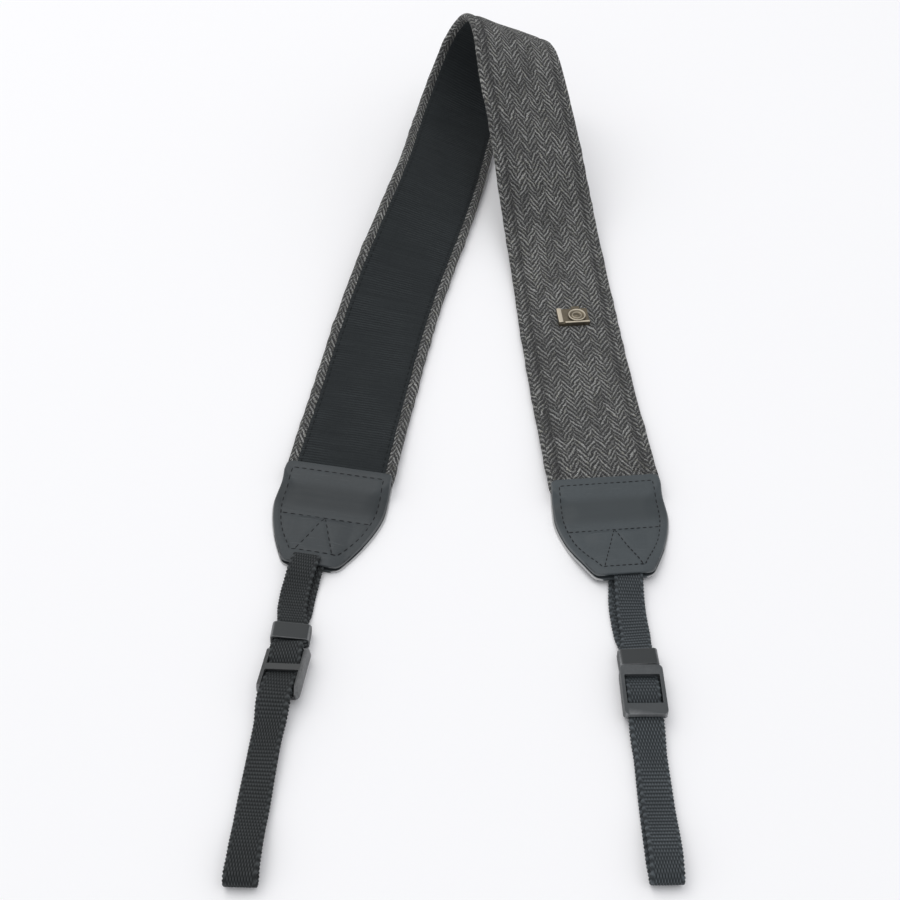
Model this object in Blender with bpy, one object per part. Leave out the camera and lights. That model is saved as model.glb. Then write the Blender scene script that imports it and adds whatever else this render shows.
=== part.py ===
"""Camera neck strap: a padded band with leather ends, webbing loops and plastic fittings.

It lies on the plane z = 0 as an upside-down V. The left leg has its lining up, the band bends
up and over at the far end, and the right leg has its cover up. Units are metres and +Z is up.
"""
import math

import bmesh
import bpy
from mathutils import Matrix, Vector

MM = 0.001

# Padded band
BAND_LENGTH = 542 * MM
BAND_WIDTH = 40 * MM
BAND_THICKNESS = 3.0 * MM
HEM_WIDTH = 4.4 * MM
LINING_THICKNESS = 0.8 * MM
BAND_EDGE_ROUND = 0.9 * MM
BAND_STEPS = 84

# Leather ends
TAB_LENGTH = 44 * MM
TAB_TOP_WIDTH = 39 * MM
TAB_BULGE_WIDTH = 41.4 * MM
TAB_TIP_WIDTH = 18.6 * MM
TAB_CORNER = 1.6 * MM
SHOULDER_POWER = 1.65
LEATHER = 1.1 * MM
BAND_INSET = 17 * MM
BAND_PINCH = 3.6 * MM
TAB_FOLD = 3.2 * MM
TAB_BEND_FROM = 0.6
TAB_STEPS = 20

# Webbing
WEBBING_WIDTH = 10 * MM
WEBBING_THICKNESS = 1.1 * MM
LAYER_GAP = 0.35 * MM
LAYER_FAN = 1.2 * MM
ROOT_LENGTH = 19 * MM
TAIL_OVERLAP = 5 * MM
LUG_GAP = 4.8 * MM
LUG_THROAT = 6 * MM
LUG_RAMP = 13 * MM
WEBBING_STEP = 1.5 * MM
WEBBING_EDGE = 0.4 * MM
SLOPE_STEP = 0.5 * MM
LEFT_REACH = 115.8 * MM
RIGHT_REACH = 110.8 * MM

# Plastic fittings
KEEPER_WIDTH = 12.8 * MM
KEEPER_LENGTH = 6.2 * MM
KEEPER_WALL = 1.0 * MM
KEEPER_ROUND = 0.8 * MM
SLIDER_WIDTH = 13.6 * MM
SLIDER_LENGTH = 18.5 * MM
SLIDER_RAIL = 1.2 * MM
SLIDER_PLATE = 1.5 * MM
SLIDER_TOP_BAR = 3.6 * MM
SLIDER_LOW_BAR = 4.2 * MM
SLIDER_MIDDLE_BAR = 2.3 * MM
SLIDER_BAR_THICKNESS = 1.1 * MM
FITTING_ROUND = 0.45 * MM
RAIL_ROUND = 0.35 * MM
MIDDLE_BAR_ROUND = 0.3 * MM
LEFT_KEEPER_AT = 29.5 * MM
LEFT_FITTING_GAP = 2.65 * MM
RIGHT_KEEPER_AT = 33.6 * MM
RIGHT_FITTING_GAP = 0.45 * MM
LEFT_KEEPER_ROLL = math.radians(-4)
LEFT_KEEPER_SKEW = math.radians(5)
LEFT_SLIDER_ROLL = math.radians(9)
LEFT_SLIDER_SKEW = math.radians(0.5)

# Brass badge
BADGE_WIDTH = 12.8 * MM
BADGE_HEIGHT = 8.6 * MM
BADGE_THICKNESS = 1.3 * MM
BADGE_LENS = 6.8 * MM
BADGE_RELIEF = 0.8 * MM
BADGE_GRIP = 1.9 * MM
BADGE_ROUND = 0.35 * MM
BADGE_GRIP_ROUND = 0.25 * MM
BADGE_GRIP_INSET = 0.5 * MM
BADGE_LENS_INSET = 0.9 * MM
BADGE_AT = 0.832
BADGE_ACROSS = 0.055

CLEARANCE = 0.3 * MM

# The band's route between its leather ends: a row for each bend or straight.
# Lengths are shares of BAND_LENGTH, angles are in degrees. "rise" is the height of the lower
# edge over the floor, "turn" swings the width in plan and "bank" lifts the left edge.
BAND_ROUTE_COLUMNS = ("along", "across", "away", "rise", "turn", "bank")
BAND_ROUTE = (
    (0.000, -0.073, 0.615, 0.000, -11, 0),
    (0.100, -0.058, 0.713, 0.000, -11, 1),
    (0.200, -0.039, 0.811, 0.000, -11, 9),
    (0.280, -0.019, 0.889, 0.001, -10, 19),
    (0.340, -0.006, 0.947, 0.001, -9, 22),
    (0.390, 0.002, 0.997, 0.001, -9, 19),
    (0.430, 0.010, 1.035, 0.003, -8, 23),
    (0.465, 0.021, 1.062, 0.018, -4, 29),
    (0.495, 0.033, 1.069, 0.043, 4, 30),
    (0.525, 0.045, 1.054, 0.067, 10, 27),
    (0.560, 0.054, 1.022, 0.078, 12, 18),
    (0.600, 0.060, 0.985, 0.069, 9, 11),
    (0.640, 0.067, 0.951, 0.051, 9, 10),
    (0.675, 0.072, 0.920, 0.036, 8, 7),
    (0.710, 0.077, 0.892, 0.019, 6, 4),
    (0.760, 0.083, 0.845, 0.005, 5, 1),
    (0.840, 0.089, 0.765, 0.000, 5, 0),
    (1.000, 0.102, 0.606, 0.000, 5, 0),
)

# How each webbing strays sideways on its way out: "out" is a share of the reach from the tab
# to the loop, "aside" a share of WEBBING_WIDTH, to the right.
DRIFT_COLUMNS = ("out", "aside")
LEFT_DRIFT = (
    (0.00, 0.02),
    (0.10, -0.04),
    (0.17, 0.06),
    (0.25, 0.22),
    (0.32, 0.375),
    (0.38, 0.42),
    (0.46, 0.425),
    (0.53, 0.455),
    (0.65, 0.58),
    (0.85, 0.85),
    (1.00, 1.12),
)
RIGHT_DRIFT = (
    (0.00, 0.02),
    (0.12, -0.15),
    (0.28, -0.18),
    (0.40, -0.25),
    (0.54, -0.37),
    (0.80, -0.59),
    (1.00, -0.75),
)

COLOURS = {
    "tweed": (0.070, 0.070, 0.068, 1, 0.95, 0),
    "lining": (0.012, 0.012, 0.014, 1, 0.9, 0),
    "leather": (0.060, 0.068, 0.072, 1, 0.55, 0),
    "webbing": (0.012, 0.013, 0.016, 1, 0.85, 0),
    "plastic": (0.030, 0.032, 0.034, 1, 0.6, 0),
    "brass": (0.300, 0.220, 0.120, 1, 0.42, 1),
}


def clear_scene():
    for item in list(bpy.data.objects):
        bpy.data.objects.remove(item, do_unlink=True)


def make_collection(name):
    group = bpy.data.collections.new(name)
    bpy.context.scene.collection.children.link(group)
    return group


def make_material(name):
    red, green, blue, alpha, rough, metal = COLOURS[name]
    material = bpy.data.materials.new(name)
    material.use_nodes = True
    shader = material.node_tree.nodes["Principled BSDF"]
    shader.inputs["Base Color"].default_value = (red, green, blue, alpha)
    shader.inputs["Roughness"].default_value = rough
    shader.inputs["Metallic"].default_value = metal
    return material


def ease(value):
    """0 below 0, 1 above 1 and a smooth step between."""
    value = min(max(value, 0.0), 1.0)
    return value * value * (3 - 2 * value)


def spline(rows, column):
    """A natural cubic spline through one column of a table, as a function of its first column."""
    knots = [row[0] for row in rows]
    values = [row[column] for row in rows]
    count = len(knots)
    gaps = [knots[i + 1] - knots[i] for i in range(count - 1)]
    bends = [0.0] * count
    upper = [0.0] * count
    for i in range(1, count - 1):
        slope_out = (values[i + 1] - values[i]) / gaps[i]
        slope_in = (values[i] - values[i - 1]) / gaps[i - 1]
        pivot = 2 * (gaps[i - 1] + gaps[i]) - gaps[i - 1] * upper[i - 1]
        upper[i] = gaps[i] / pivot
        bends[i] = (6 * (slope_out - slope_in) - gaps[i - 1] * bends[i - 1]) / pivot
    for i in range(count - 2, 0, -1):
        bends[i] -= upper[i] * bends[i + 1]

    def at(place):
        i = 0
        while i < count - 2 and place > knots[i + 1]:
            i += 1
        after = (place - knots[i]) / gaps[i]
        before = 1 - after
        curve = (before ** 3 - before) * bends[i] + (after ** 3 - after) * bends[i + 1]
        return before * values[i] + after * values[i + 1] + curve * gaps[i] ** 2 / 6

    return at


def steps(rows, place):
    """Values eased from row to row, with no overshoot, at a place along the first column."""
    if place <= rows[0][0]:
        return rows[0][1:]
    for low, high in zip(rows, rows[1:]):
        if place <= high[0]:
            share = ease((place - low[0]) / (high[0] - low[0]))
            return tuple(a + (b - a) * share for a, b in zip(low[1:], high[1:]))
    return rows[-1][1:]


ROUTE = {name: spline(BAND_ROUTE, i) for i, name in enumerate(BAND_ROUTE_COLUMNS) if i}


def band_centre(share):
    """The middle of the band's thickness and width at a share of its length, and its across."""
    turn = math.radians(ROUTE["turn"](share))
    bank = math.radians(ROUTE["bank"](share))
    rise = max(ROUTE["rise"](share), 0.0) * BAND_LENGTH
    from_end = min(share, 1 - share) * BAND_LENGTH
    rise += (LEATHER + CLEARANCE) * (1 - ease(from_end / TAB_LENGTH))
    half_height = abs(math.sin(bank)) * BAND_WIDTH / 2 + math.cos(bank) * BAND_THICKNESS / 2
    centre = Vector((
        ROUTE["across"](share) * BAND_LENGTH,
        ROUTE["away"](share) * BAND_LENGTH,
        rise + half_height,
    ))
    flat = math.cos(bank)
    across = Vector((flat * math.cos(turn), flat * math.sin(turn), -math.sin(bank)))
    return centre, across


def band_station(share):
    """Centre, across and the direction that the lining faces."""
    centre, across = band_centre(share)
    step = 0.002
    ahead = band_centre(min(share + step, 1.0))[0]
    behind = band_centre(max(share - step, 0.0))[0]
    facing = across.cross(ahead - behind).normalized()
    return centre, across, facing


def end_frame(side):
    """Origin on the floor at the band's end, the way out along the leg, and across."""
    share = 0.0 if side == "left" else 1.0
    centre, across = band_centre(share)
    across = Vector((across.x, across.y, 0)).normalized()
    out = Vector((across.y, -across.x, 0))
    return Vector((centre.x, centre.y, 0)), out, across


def finish(mesh, name, material, group, smooth_angle=40):
    bmesh.ops.recalc_face_normals(mesh, faces=mesh.faces)
    data = bpy.data.meshes.new(name)
    mesh.to_mesh(data)
    mesh.free()
    data.shade_smooth()
    data.set_sharp_from_angle(angle=math.radians(smooth_angle))
    data.materials.append(material)
    item = bpy.data.objects.new(name, data)
    group.objects.link(item)
    return item


def loft(name, rings, material, group):
    """A closed solid through rings with as many points each, capped at both ends."""
    mesh = bmesh.new()
    loops = [[mesh.verts.new(point) for point in ring] for ring in rings]
    count = len(loops[0])
    for low, high in zip(loops, loops[1:]):
        for i in range(count):
            j = (i + 1) % count
            mesh.faces.new((low[i], low[j], high[j], high[i]))
    caps = [mesh.faces.new(loops[0]), mesh.faces.new(loops[-1])]
    bmesh.ops.triangulate(mesh, faces=caps)
    return finish(mesh, name, material, group)


def band_rings(section):
    """A section of (across, facing) points carried along the band and into both tabs."""
    rings = []
    inset = [BAND_INSET * share for share in (1.0, 0.75, 0.5, 0.25)]
    for side, depths in (("left", inset), ("middle", []), ("right", inset[::-1])):
        if side == "middle":
            for i in range(BAND_STEPS + 1):
                centre, across, facing = band_station(i / BAND_STEPS)
                rings.append([centre + across * u + facing * n for u, n in section])
            continue
        centre, across, facing = band_station(0.0 if side == "left" else 1.0)
        out = end_frame(side)[1]
        for depth in depths:
            narrow = 1 - 2 * BAND_PINCH / BAND_WIDTH * ease(depth / (BAND_INSET * 0.6))
            start = centre + out * depth
            rings.append([start + across * u * narrow + facing * n for u, n in section])
    return rings


def make_band(materials, group):
    half = BAND_WIDTH / 2
    face = BAND_THICKNESS / 2
    turn = BAND_EDGE_ROUND
    seat = face - LINING_THICKNESS - CLEARANCE
    hem = half - HEM_WIDTH
    right_half = [
        (half - turn, -face),
        (half, -face + turn),
        (half, face - turn),
        (half - turn, face),
        (hem, face),
        (hem, seat),
        (hem / 2, seat),
    ]
    left_half = [(-u, n) for u, n in reversed(right_half)]
    cover = right_half + [(0, seat)] + left_half
    loft("band_cover", band_rings(cover), materials["tweed"], group)
    edge = hem - CLEARANCE
    places = (-edge, -hem / 2, 0, hem / 2, edge)
    under = [(u, seat + CLEARANCE) for u in places]
    over = [(u, face) for u in reversed(places)]
    loft("band_lining", band_rings(under + over), materials["lining"], group)


def tab_half_width(along):
    """Half the tab's width at a distance from the band: a slight bulge, then round shoulders."""
    share = along / TAB_LENGTH
    top, bulge, tip = TAB_TOP_WIDTH / 2, TAB_BULGE_WIDTH / 2, TAB_TIP_WIDTH / 2
    widest = 0.36
    if share < widest:
        width = top + (bulge - top) * math.sin(share / widest * math.pi / 2)
    else:
        fall = (share - widest) / (1 - widest)
        width = bulge - (bulge - tip) * fall ** SHOULDER_POWER
    nearest = min(along, TAB_LENGTH - along)
    if nearest < TAB_CORNER:
        cut = TAB_CORNER - nearest
        width -= TAB_CORNER - math.sqrt(max(TAB_CORNER ** 2 - cut ** 2, 0.0))
    return width


def band_half_inside(depth):
    return BAND_WIDTH / 2 - BAND_PINCH * ease(depth / (BAND_INSET * 0.6))


def tab_content(along, aside):
    """How far apart the two leathers lie over the band's end and the webbing's root."""
    fold = TAB_FOLD
    over_band = 1 - ease((along - BAND_INSET - CLEARANCE) / fold)
    over_band *= 1 - ease((abs(aside) - band_half_inside(along) - CLEARANCE) / fold)
    if along < TAB_CORNER:
        over_band = 1.0
    root_start = TAB_LENGTH - ROOT_LENGTH
    over_root = ease((along - root_start + fold) / fold)
    over_root *= 1 - ease((abs(aside) - WEBBING_WIDTH / 2 - 3 * CLEARANCE) / fold)
    band_height = (BAND_THICKNESS + 2 * CLEARANCE) * over_band
    root_height = (WEBBING_THICKNESS + 2 * CLEARANCE) * over_root
    return max(band_height, root_height, CLEARANCE)


def tail_lift():
    return WEBBING_THICKNESS + 2 * CLEARANCE


def tab_bend(side, along):
    """The right tab's tip is lifted by the webbing's tail, which lies under it."""
    if side == "left":
        return 0.0
    start = TAB_LENGTH * TAB_BEND_FROM
    stop = TAB_LENGTH - TAIL_OVERLAP - CLEARANCE
    return tail_lift() * ease((along - start) / (stop - start))


def tab_rows():
    ends = [0, 0.15, 0.5, 1.0]
    near = [TAB_CORNER * share for share in ends]
    far = [TAB_LENGTH - TAB_CORNER * share for share in reversed(ends)]
    span = TAB_LENGTH - 2 * TAB_CORNER
    middle = [TAB_CORNER + span * i / TAB_STEPS for i in range(1, TAB_STEPS)]
    return near + middle + far


def tab_places(along, half):
    """Distances from the tab's middle line at which its leather changes height."""
    root = WEBBING_WIDTH / 2 + 3 * CLEARANCE
    band = band_half_inside(along) + CLEARANCE
    wanted = (0, root, root + TAB_FOLD / 2, root + TAB_FOLD, band, band + TAB_FOLD / 2, half)
    step = 0.04 * half
    return [min(place, half - step * (6 - i)) for i, place in enumerate(wanted)]


def make_tab(side, materials, group):
    origin, out, across = end_frame(side)
    up = Vector((0, 0, 1))

    def point(along, aside, height):
        return origin + out * along + across * aside + up * height

    lower, upper = [], []
    for along in tab_rows():
        half = tab_half_width(along)
        base = tab_bend(side, along)
        lower.append([point(along, u * half, base + n * LEATHER)
                      for u, n in ((-1, 0), (1, 0), (1, 1), (-1, 1))])
        places = tab_places(along, half)
        places = [-u for u in reversed(places[1:])] + places
        under = [(u, base + LEATHER + tab_content(along, u)) for u in places]
        over = [(u, n + LEATHER) for u, n in reversed(under)]
        upper.append([point(along, u, n) for u, n in under + over])
    faces = ("front", "back") if side == "left" else ("back", "front")
    loft(f"{side}_tab_{faces[0]}", lower, materials["leather"], group)
    loft(f"{side}_tab_{faces[1]}", upper, materials["leather"], group)


def webbing_heights():
    """Heights of the pair's middle line over the floor, worked out from what it passes."""
    pair = WEBBING_THICKNESS + LAYER_GAP / 2
    lying = CLEARANCE / 2 + pair
    over_middle = SLIDER_BAR_THICKNESS + CLEARANCE + pair
    perch = slider_perch()
    return {
        "lying": lying,
        "in_keeper": KEEPER_WALL + CLEARANCE + pair,
        "right_bars": perch + lying,
        "right_middle": perch + over_middle,
        "left_bars": perch + slider_depth() - lying,
        "left_middle": perch + slider_depth() - over_middle,
    }


def slider_perch():
    """The slider's height over the floor: its webbing runs level with the keeper's."""
    return KEEPER_WALL + CLEARANCE / 2


def slider_depth():
    pair = WEBBING_THICKNESS + LAYER_GAP / 2
    return CLEARANCE / 2 + 2 * pair + CLEARANCE + SLIDER_PLATE


def keeper_height():
    return 2 * (KEEPER_WALL + CLEARANCE) + 2 * WEBBING_THICKNESS + LAYER_GAP


def side_sizes(side):
    """A leg's reach, its fittings' places past the tab, their rolls and the webbing's drift."""
    aside = DRIFT_COLUMNS.index("aside")
    beside = (KEEPER_LENGTH + SLIDER_LENGTH) / 2
    if side == "left":
        slider_at = LEFT_KEEPER_AT + beside + LEFT_FITTING_GAP
        rolls = (LEFT_KEEPER_ROLL, LEFT_SLIDER_ROLL)
        return LEFT_REACH, LEFT_KEEPER_AT, slider_at, rolls, spline(LEFT_DRIFT, aside)
    slider_at = RIGHT_KEEPER_AT + beside + RIGHT_FITTING_GAP
    return RIGHT_REACH, RIGHT_KEEPER_AT, slider_at, (0.0, 0.0), spline(RIGHT_DRIFT, aside)


def webbing_path(side):
    """Rows of (along, middle height, half spread, half sideways shift) out to the loop's end."""
    reach, keeper_at, slider_at, _, _ = side_sizes(side)
    tab = TAB_LENGTH
    heights = webbing_heights()
    close = (WEBBING_THICKNESS + LAYER_GAP) / 2
    wide = (LEATHER + WEBBING_THICKNESS) / 2 + CLEARANCE
    inside = LEATHER + CLEARANCE + WEBBING_THICKNESS / 2
    open_half = (LUG_GAP + WEBBING_THICKNESS) / 2
    floor_layer = heights["lying"] - close
    if side == "left":
        rooted = inside + wide
        at_tip = rooted
    else:
        rooted = inside - wide
        at_tip = rooted + tail_lift()
    bars, middle = heights[f"{side}_bars"], heights[f"{side}_middle"]
    keeper = tab + keeper_at
    slider = tab + slider_at
    window_start = slider - SLIDER_LENGTH / 2 + SLIDER_TOP_BAR + CLEARANCE / 2
    window_stop = slider + SLIDER_LENGTH / 2 - SLIDER_LOW_BAR - CLEARANCE / 2
    bar_edge = SLIDER_MIDDLE_BAR / 2 + CLEARANCE / 2
    bar_at = slider + middle_bar_offset()
    loop_end = tab + reach - open_half - WEBBING_THICKNESS / 2
    level = heights["lying"]
    return [
        (tab - ROOT_LENGTH, rooted, wide, 0.0),
        (tab * TAB_BEND_FROM, rooted, wide, 0.0),
        (tab - TAIL_OVERLAP - CLEARANCE, at_tip, wide, LAYER_FAN * 0.2),
        (tab + LEATHER, at_tip, wide, LAYER_FAN * 0.8),
        (tab + WEBBING_WIDTH, level, close, LAYER_FAN),
        (keeper - KEEPER_LENGTH / 2 - WEBBING_WIDTH * 0.8, level, close, LAYER_FAN * 0.9),
        (keeper - KEEPER_LENGTH / 2 - CLEARANCE, heights["in_keeper"], close, 0.0),
        (keeper + KEEPER_LENGTH / 2 + CLEARANCE / 2, heights["in_keeper"], close, 0.0),
        (slider - SLIDER_LENGTH / 2 - CLEARANCE / 2, bars, close, 0.0),
        (window_start, bars, close, 0.0),
        (bar_at - bar_edge, middle, close, 0.0),
        (bar_at + bar_edge, middle, close, 0.0),
        (window_stop, bars, close, 0.0),
        (slider + SLIDER_LENGTH / 2 + CLEARANCE / 2, bars, close, 0.0),
        (slider + SLIDER_LENGTH / 2 + WEBBING_WIDTH, level, close, LAYER_FAN * 0.1),
        (loop_end - LUG_THROAT - LUG_RAMP, level, close, LAYER_FAN * 0.3),
        (loop_end - LUG_THROAT, floor_layer + open_half, open_half, LAYER_FAN * 0.2),
        (loop_end, floor_layer + open_half, open_half, 0.0),
    ]


def middle_bar_offset():
    return (SLIDER_TOP_BAR - SLIDER_LOW_BAR) / 2


def webbing_space(side):
    """A function from (along, aside, height) beside a leg to the world."""
    origin, out, across = end_frame(side)
    reach, keeper_at, slider_at, (keeper_roll, slider_roll), drift = side_sizes(side)
    up = Vector((0, 0, 1))
    keeper, slider = TAB_LENGTH + keeper_at, TAB_LENGTH + slider_at
    rolls = [(along, roll, abs(math.sin(roll)) * SLIDER_WIDTH / 2) for along, roll in (
        (TAB_LENGTH + keeper_at * 0.15, 0.0),
        (keeper - KEEPER_LENGTH, keeper_roll),
        (keeper + KEEPER_LENGTH / 2, keeper_roll),
        (slider - SLIDER_LENGTH / 2, slider_roll),
        (slider + SLIDER_LENGTH * 0.55, slider_roll),
        (TAB_LENGTH + reach * 0.86, 0.0),
    )]

    def strayed(along):
        share = max(along - TAB_LENGTH, 0.0) / reach
        return drift(share) * WEBBING_WIDTH

    def axes(along):
        step = SLOPE_STEP
        slope = (strayed(along + step) - strayed(along - step)) / (2 * step)
        ahead = (out + across * slope).normalized()
        level = Vector((-ahead.y, ahead.x, 0))
        tilt, lift = steps(rolls, along)
        centre = origin + out * along + across * strayed(along) + up * lift
        rolled = level * math.cos(tilt) + up * math.sin(tilt)
        return centre, ahead, rolled, ahead.cross(rolled)

    def place(along, aside, height):
        centre, _, rolled, above = axes(along)
        return centre + rolled * aside + above * height

    return place, axes


def webbing_line(side):
    """The strip's middle line as (along, height, slope, aside) from root to tail."""
    rows = webbing_path(side)
    outward = 1 if side == "left" else -1
    start, stop = rows[0][0], rows[-1][0]
    count = max(int((stop - start) / WEBBING_STEP), 24)
    open_half = rows[-1][2]
    fine = SLOPE_STEP / 10

    def layer(along, sign):
        height, spread, fan = steps(rows, along)
        ahead = steps(rows, along + fine)
        behind = steps(rows, along - fine)
        slope = math.atan2(ahead[0] - behind[0], 2 * fine)
        return (along - math.sin(slope) * spread * sign,
                height + math.cos(slope) * spread * sign, slope, -fan * sign * outward)

    places = [start + (stop - start) * i / count for i in range(count + 1)]
    line = [layer(along, -outward) for along in places]
    middle = rows[-1][1]
    turns = 7
    for i in range(1, turns):
        angle = math.pi * i / turns
        line.append((stop + open_half * math.sin(angle),
                     middle - outward * open_half * math.cos(angle), outward * angle, 0.0))
    tail_end = TAB_LENGTH - TAIL_OVERLAP
    back = [along for along in reversed(places) if along > tail_end + WEBBING_STEP / 2]
    back.append(tail_end)
    for along in back:
        along, height, slope, aside = layer(along, outward)
        line.append((along, height, slope + math.pi, aside))
    return line


def make_webbing(side, materials, group):
    place, _ = webbing_space(side)
    half, thick = WEBBING_WIDTH / 2, WEBBING_THICKNESS / 2
    edge = WEBBING_EDGE
    section = [(half - edge, -thick), (half, 0), (half - edge, thick),
               (-half + edge, thick), (-half, 0), (-half + edge, -thick)]
    rings = []
    for along, height, slope, aside in webbing_line(side):
        sine, cosine = math.sin(slope), math.cos(slope)
        rings.append([place(along - sine * n, aside + u, height + cosine * n)
                      for u, n in section])
    loft(f"{side}_webbing", rings, materials["webbing"], group)


def make_block(name, size, material, group, round_by=FITTING_ROUND, segments=2):
    """A rounded box around its own origin, length along X, width along Y."""
    mesh = bmesh.new()
    bmesh.ops.create_cube(mesh, size=1.0)
    bmesh.ops.scale(mesh, vec=Vector(size), verts=mesh.verts)
    if round_by:
        bmesh.ops.bevel(mesh, geom=mesh.edges[:], offset=round_by, segments=segments,
                        profile=0.5, material=-1, affect="EDGES")
    return finish(mesh, name, material, group, 30)


def join_with(target, tool, operation):
    change = target.modifiers.new(tool.name, "BOOLEAN")
    change.operation = operation
    change.object = tool
    change.solver = "EXACT"
    tool.hide_render = True
    tool.display_type = "WIRE"


def fitting_matrix(side, at, height):
    """Where a fitting's centre sits, with X out along the webbing and Z off the floor."""
    _, axes = webbing_space(side)
    centre, ahead, rolled, above = axes(at)
    turn = Matrix((ahead, rolled, above)).transposed().to_4x4()
    return Matrix.Translation(centre + above * height) @ turn


def make_keeper(side, materials, group, cutters):
    height = keeper_height()
    keeper_at = side_sizes(side)[1]
    place = fitting_matrix(side, TAB_LENGTH + keeper_at, height / 2)
    if side == "left":
        place = place @ Matrix.Rotation(-LEFT_KEEPER_SKEW, 4, "Z")
    ring = make_block(f"{side}_keeper", (KEEPER_LENGTH, KEEPER_WIDTH, height),
                      materials["plastic"], group, KEEPER_ROUND, 3)
    hole = make_block(f"{side}_keeper_hole",
                      (KEEPER_LENGTH * 2, KEEPER_WIDTH - 2 * KEEPER_WALL,
                       height - 2 * KEEPER_WALL), materials["plastic"], cutters, 0)
    ring.matrix_world = place
    hole.matrix_world = place
    join_with(ring, hole, "DIFFERENCE")


def make_rail(name, materials, group):
    """A side rail: a flat edge beside the plate and a boat-shaped edge on the other side."""
    depth = slider_depth()
    half = SLIDER_LENGTH / 2
    outline = [(half, depth / 2), (half, -depth * 0.06), (half * 0.72, -depth / 2),
               (-half * 0.72, -depth / 2), (-half, -depth * 0.06), (-half, depth / 2)]
    mesh = bmesh.new()
    flat = mesh.faces.new([mesh.verts.new((x, -SLIDER_RAIL / 2, z)) for x, z in outline])
    grown = bmesh.ops.extrude_face_region(mesh, geom=[flat])
    moved = [item for item in grown["geom"] if isinstance(item, bmesh.types.BMVert)]
    bmesh.ops.translate(mesh, verts=moved, vec=(0, SLIDER_RAIL, 0))
    bmesh.ops.bevel(mesh, geom=mesh.edges[:], offset=RAIL_ROUND, segments=2, profile=0.5,
                    material=-1, affect="EDGES")
    return finish(mesh, name, materials["plastic"], group, 30)


def make_slider(side, materials, group, cutters):
    depth = slider_depth()
    slider_at = side_sizes(side)[2]
    place = fitting_matrix(side, TAB_LENGTH + slider_at, slider_perch() + depth / 2)
    if side == "left":
        place = place @ Matrix.Rotation(-LEFT_SLIDER_SKEW, 4, "Z")
        place = place @ Matrix.Rotation(math.pi, 4, "X")
    plastic = materials["plastic"]
    beside = (SLIDER_WIDTH - SLIDER_RAIL) / 2
    inner = SLIDER_WIDTH - SLIDER_RAIL
    plate_z = (depth - SLIDER_PLATE) / 2
    half = SLIDER_LENGTH / 2
    frame = make_rail(f"{side}_slider", materials, group)
    other = make_rail(f"{side}_slider_rail", materials, cutters)
    top = make_block(f"{side}_slider_top", (SLIDER_TOP_BAR, inner, SLIDER_PLATE), plastic, cutters)
    low = make_block(f"{side}_slider_low", (SLIDER_LOW_BAR, inner, SLIDER_PLATE), plastic, cutters)
    bar = make_block(f"{side}_slider_bar", (SLIDER_MIDDLE_BAR, inner, SLIDER_BAR_THICKNESS),
                     plastic, cutters, MIDDLE_BAR_ROUND)
    frame.matrix_world = place @ Matrix.Translation((0, beside, 0))
    other.matrix_world = place @ Matrix.Translation((0, -beside, 0))
    top.matrix_world = place @ Matrix.Translation((SLIDER_TOP_BAR / 2 - half, 0, plate_z))
    low.matrix_world = place @ Matrix.Translation((half - SLIDER_LOW_BAR / 2, 0, plate_z))
    bar_z = (SLIDER_BAR_THICKNESS - depth) / 2
    bar.matrix_world = place @ Matrix.Translation((middle_bar_offset(), 0, bar_z))
    for piece in (other, top, low, bar):
        join_with(frame, piece, "UNION")


def make_badge(materials, group, cutters):
    """A plain camera-shaped stud: a plate, a grip bar and a round lens with rings."""
    brass = materials["brass"]
    centre, across, facing = band_station(BADGE_AT)
    away = across.cross(-facing)
    if away.y < 0:
        away = -away
    up = across.cross(away)
    seat = BAND_THICKNESS / 2 + CLEARANCE + BADGE_THICKNESS / 2
    turn = Matrix((across, away, up)).transposed().to_4x4()
    spot = centre + across * BAND_WIDTH * BADGE_ACROSS + up * seat
    place = Matrix.Translation(spot) @ turn
    plate = make_block("badge", (BADGE_WIDTH, BADGE_HEIGHT, BADGE_THICKNESS), brass, group,
                       BADGE_ROUND)
    plate.matrix_world = place
    top = BADGE_THICKNESS / 2
    grip = make_block("badge_grip", (BADGE_GRIP, BADGE_HEIGHT * 0.86, BADGE_RELIEF * 1.5), brass,
                      cutters, BADGE_GRIP_ROUND)
    grip_x = -BADGE_WIDTH / 2 + BADGE_GRIP / 2 + BADGE_GRIP_INSET
    grip.matrix_world = place @ Matrix.Translation((grip_x, 0, top))
    join_with(plate, grip, "UNION")
    lens_x = BADGE_WIDTH / 2 - BADGE_LENS / 2 - BADGE_LENS_INSET
    rings = (
        ("badge_lens", 1.00, BADGE_RELIEF, "UNION"),
        ("badge_well", 0.80, -0.5 * BADGE_RELIEF, "DIFFERENCE"),
        ("badge_glass", 0.50, 0.4 * BADGE_RELIEF, "UNION"),
    )
    for name, share, relief, operation in rings:
        mesh = bmesh.new()
        height = BADGE_RELIEF * 1.6
        radius = BADGE_LENS / 2 * share
        bmesh.ops.create_cone(mesh, cap_ends=True, segments=24, radius1=radius, radius2=radius,
                              depth=height)
        disc = finish(mesh, name, brass, cutters, 30)
        shift = relief - height / 2
        if operation == "DIFFERENCE":
            shift = BADGE_RELIEF + relief + height / 2
        disc.matrix_world = place @ Matrix.Translation((lens_x, 0, top + shift))
        join_with(plate, disc, operation)


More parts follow.
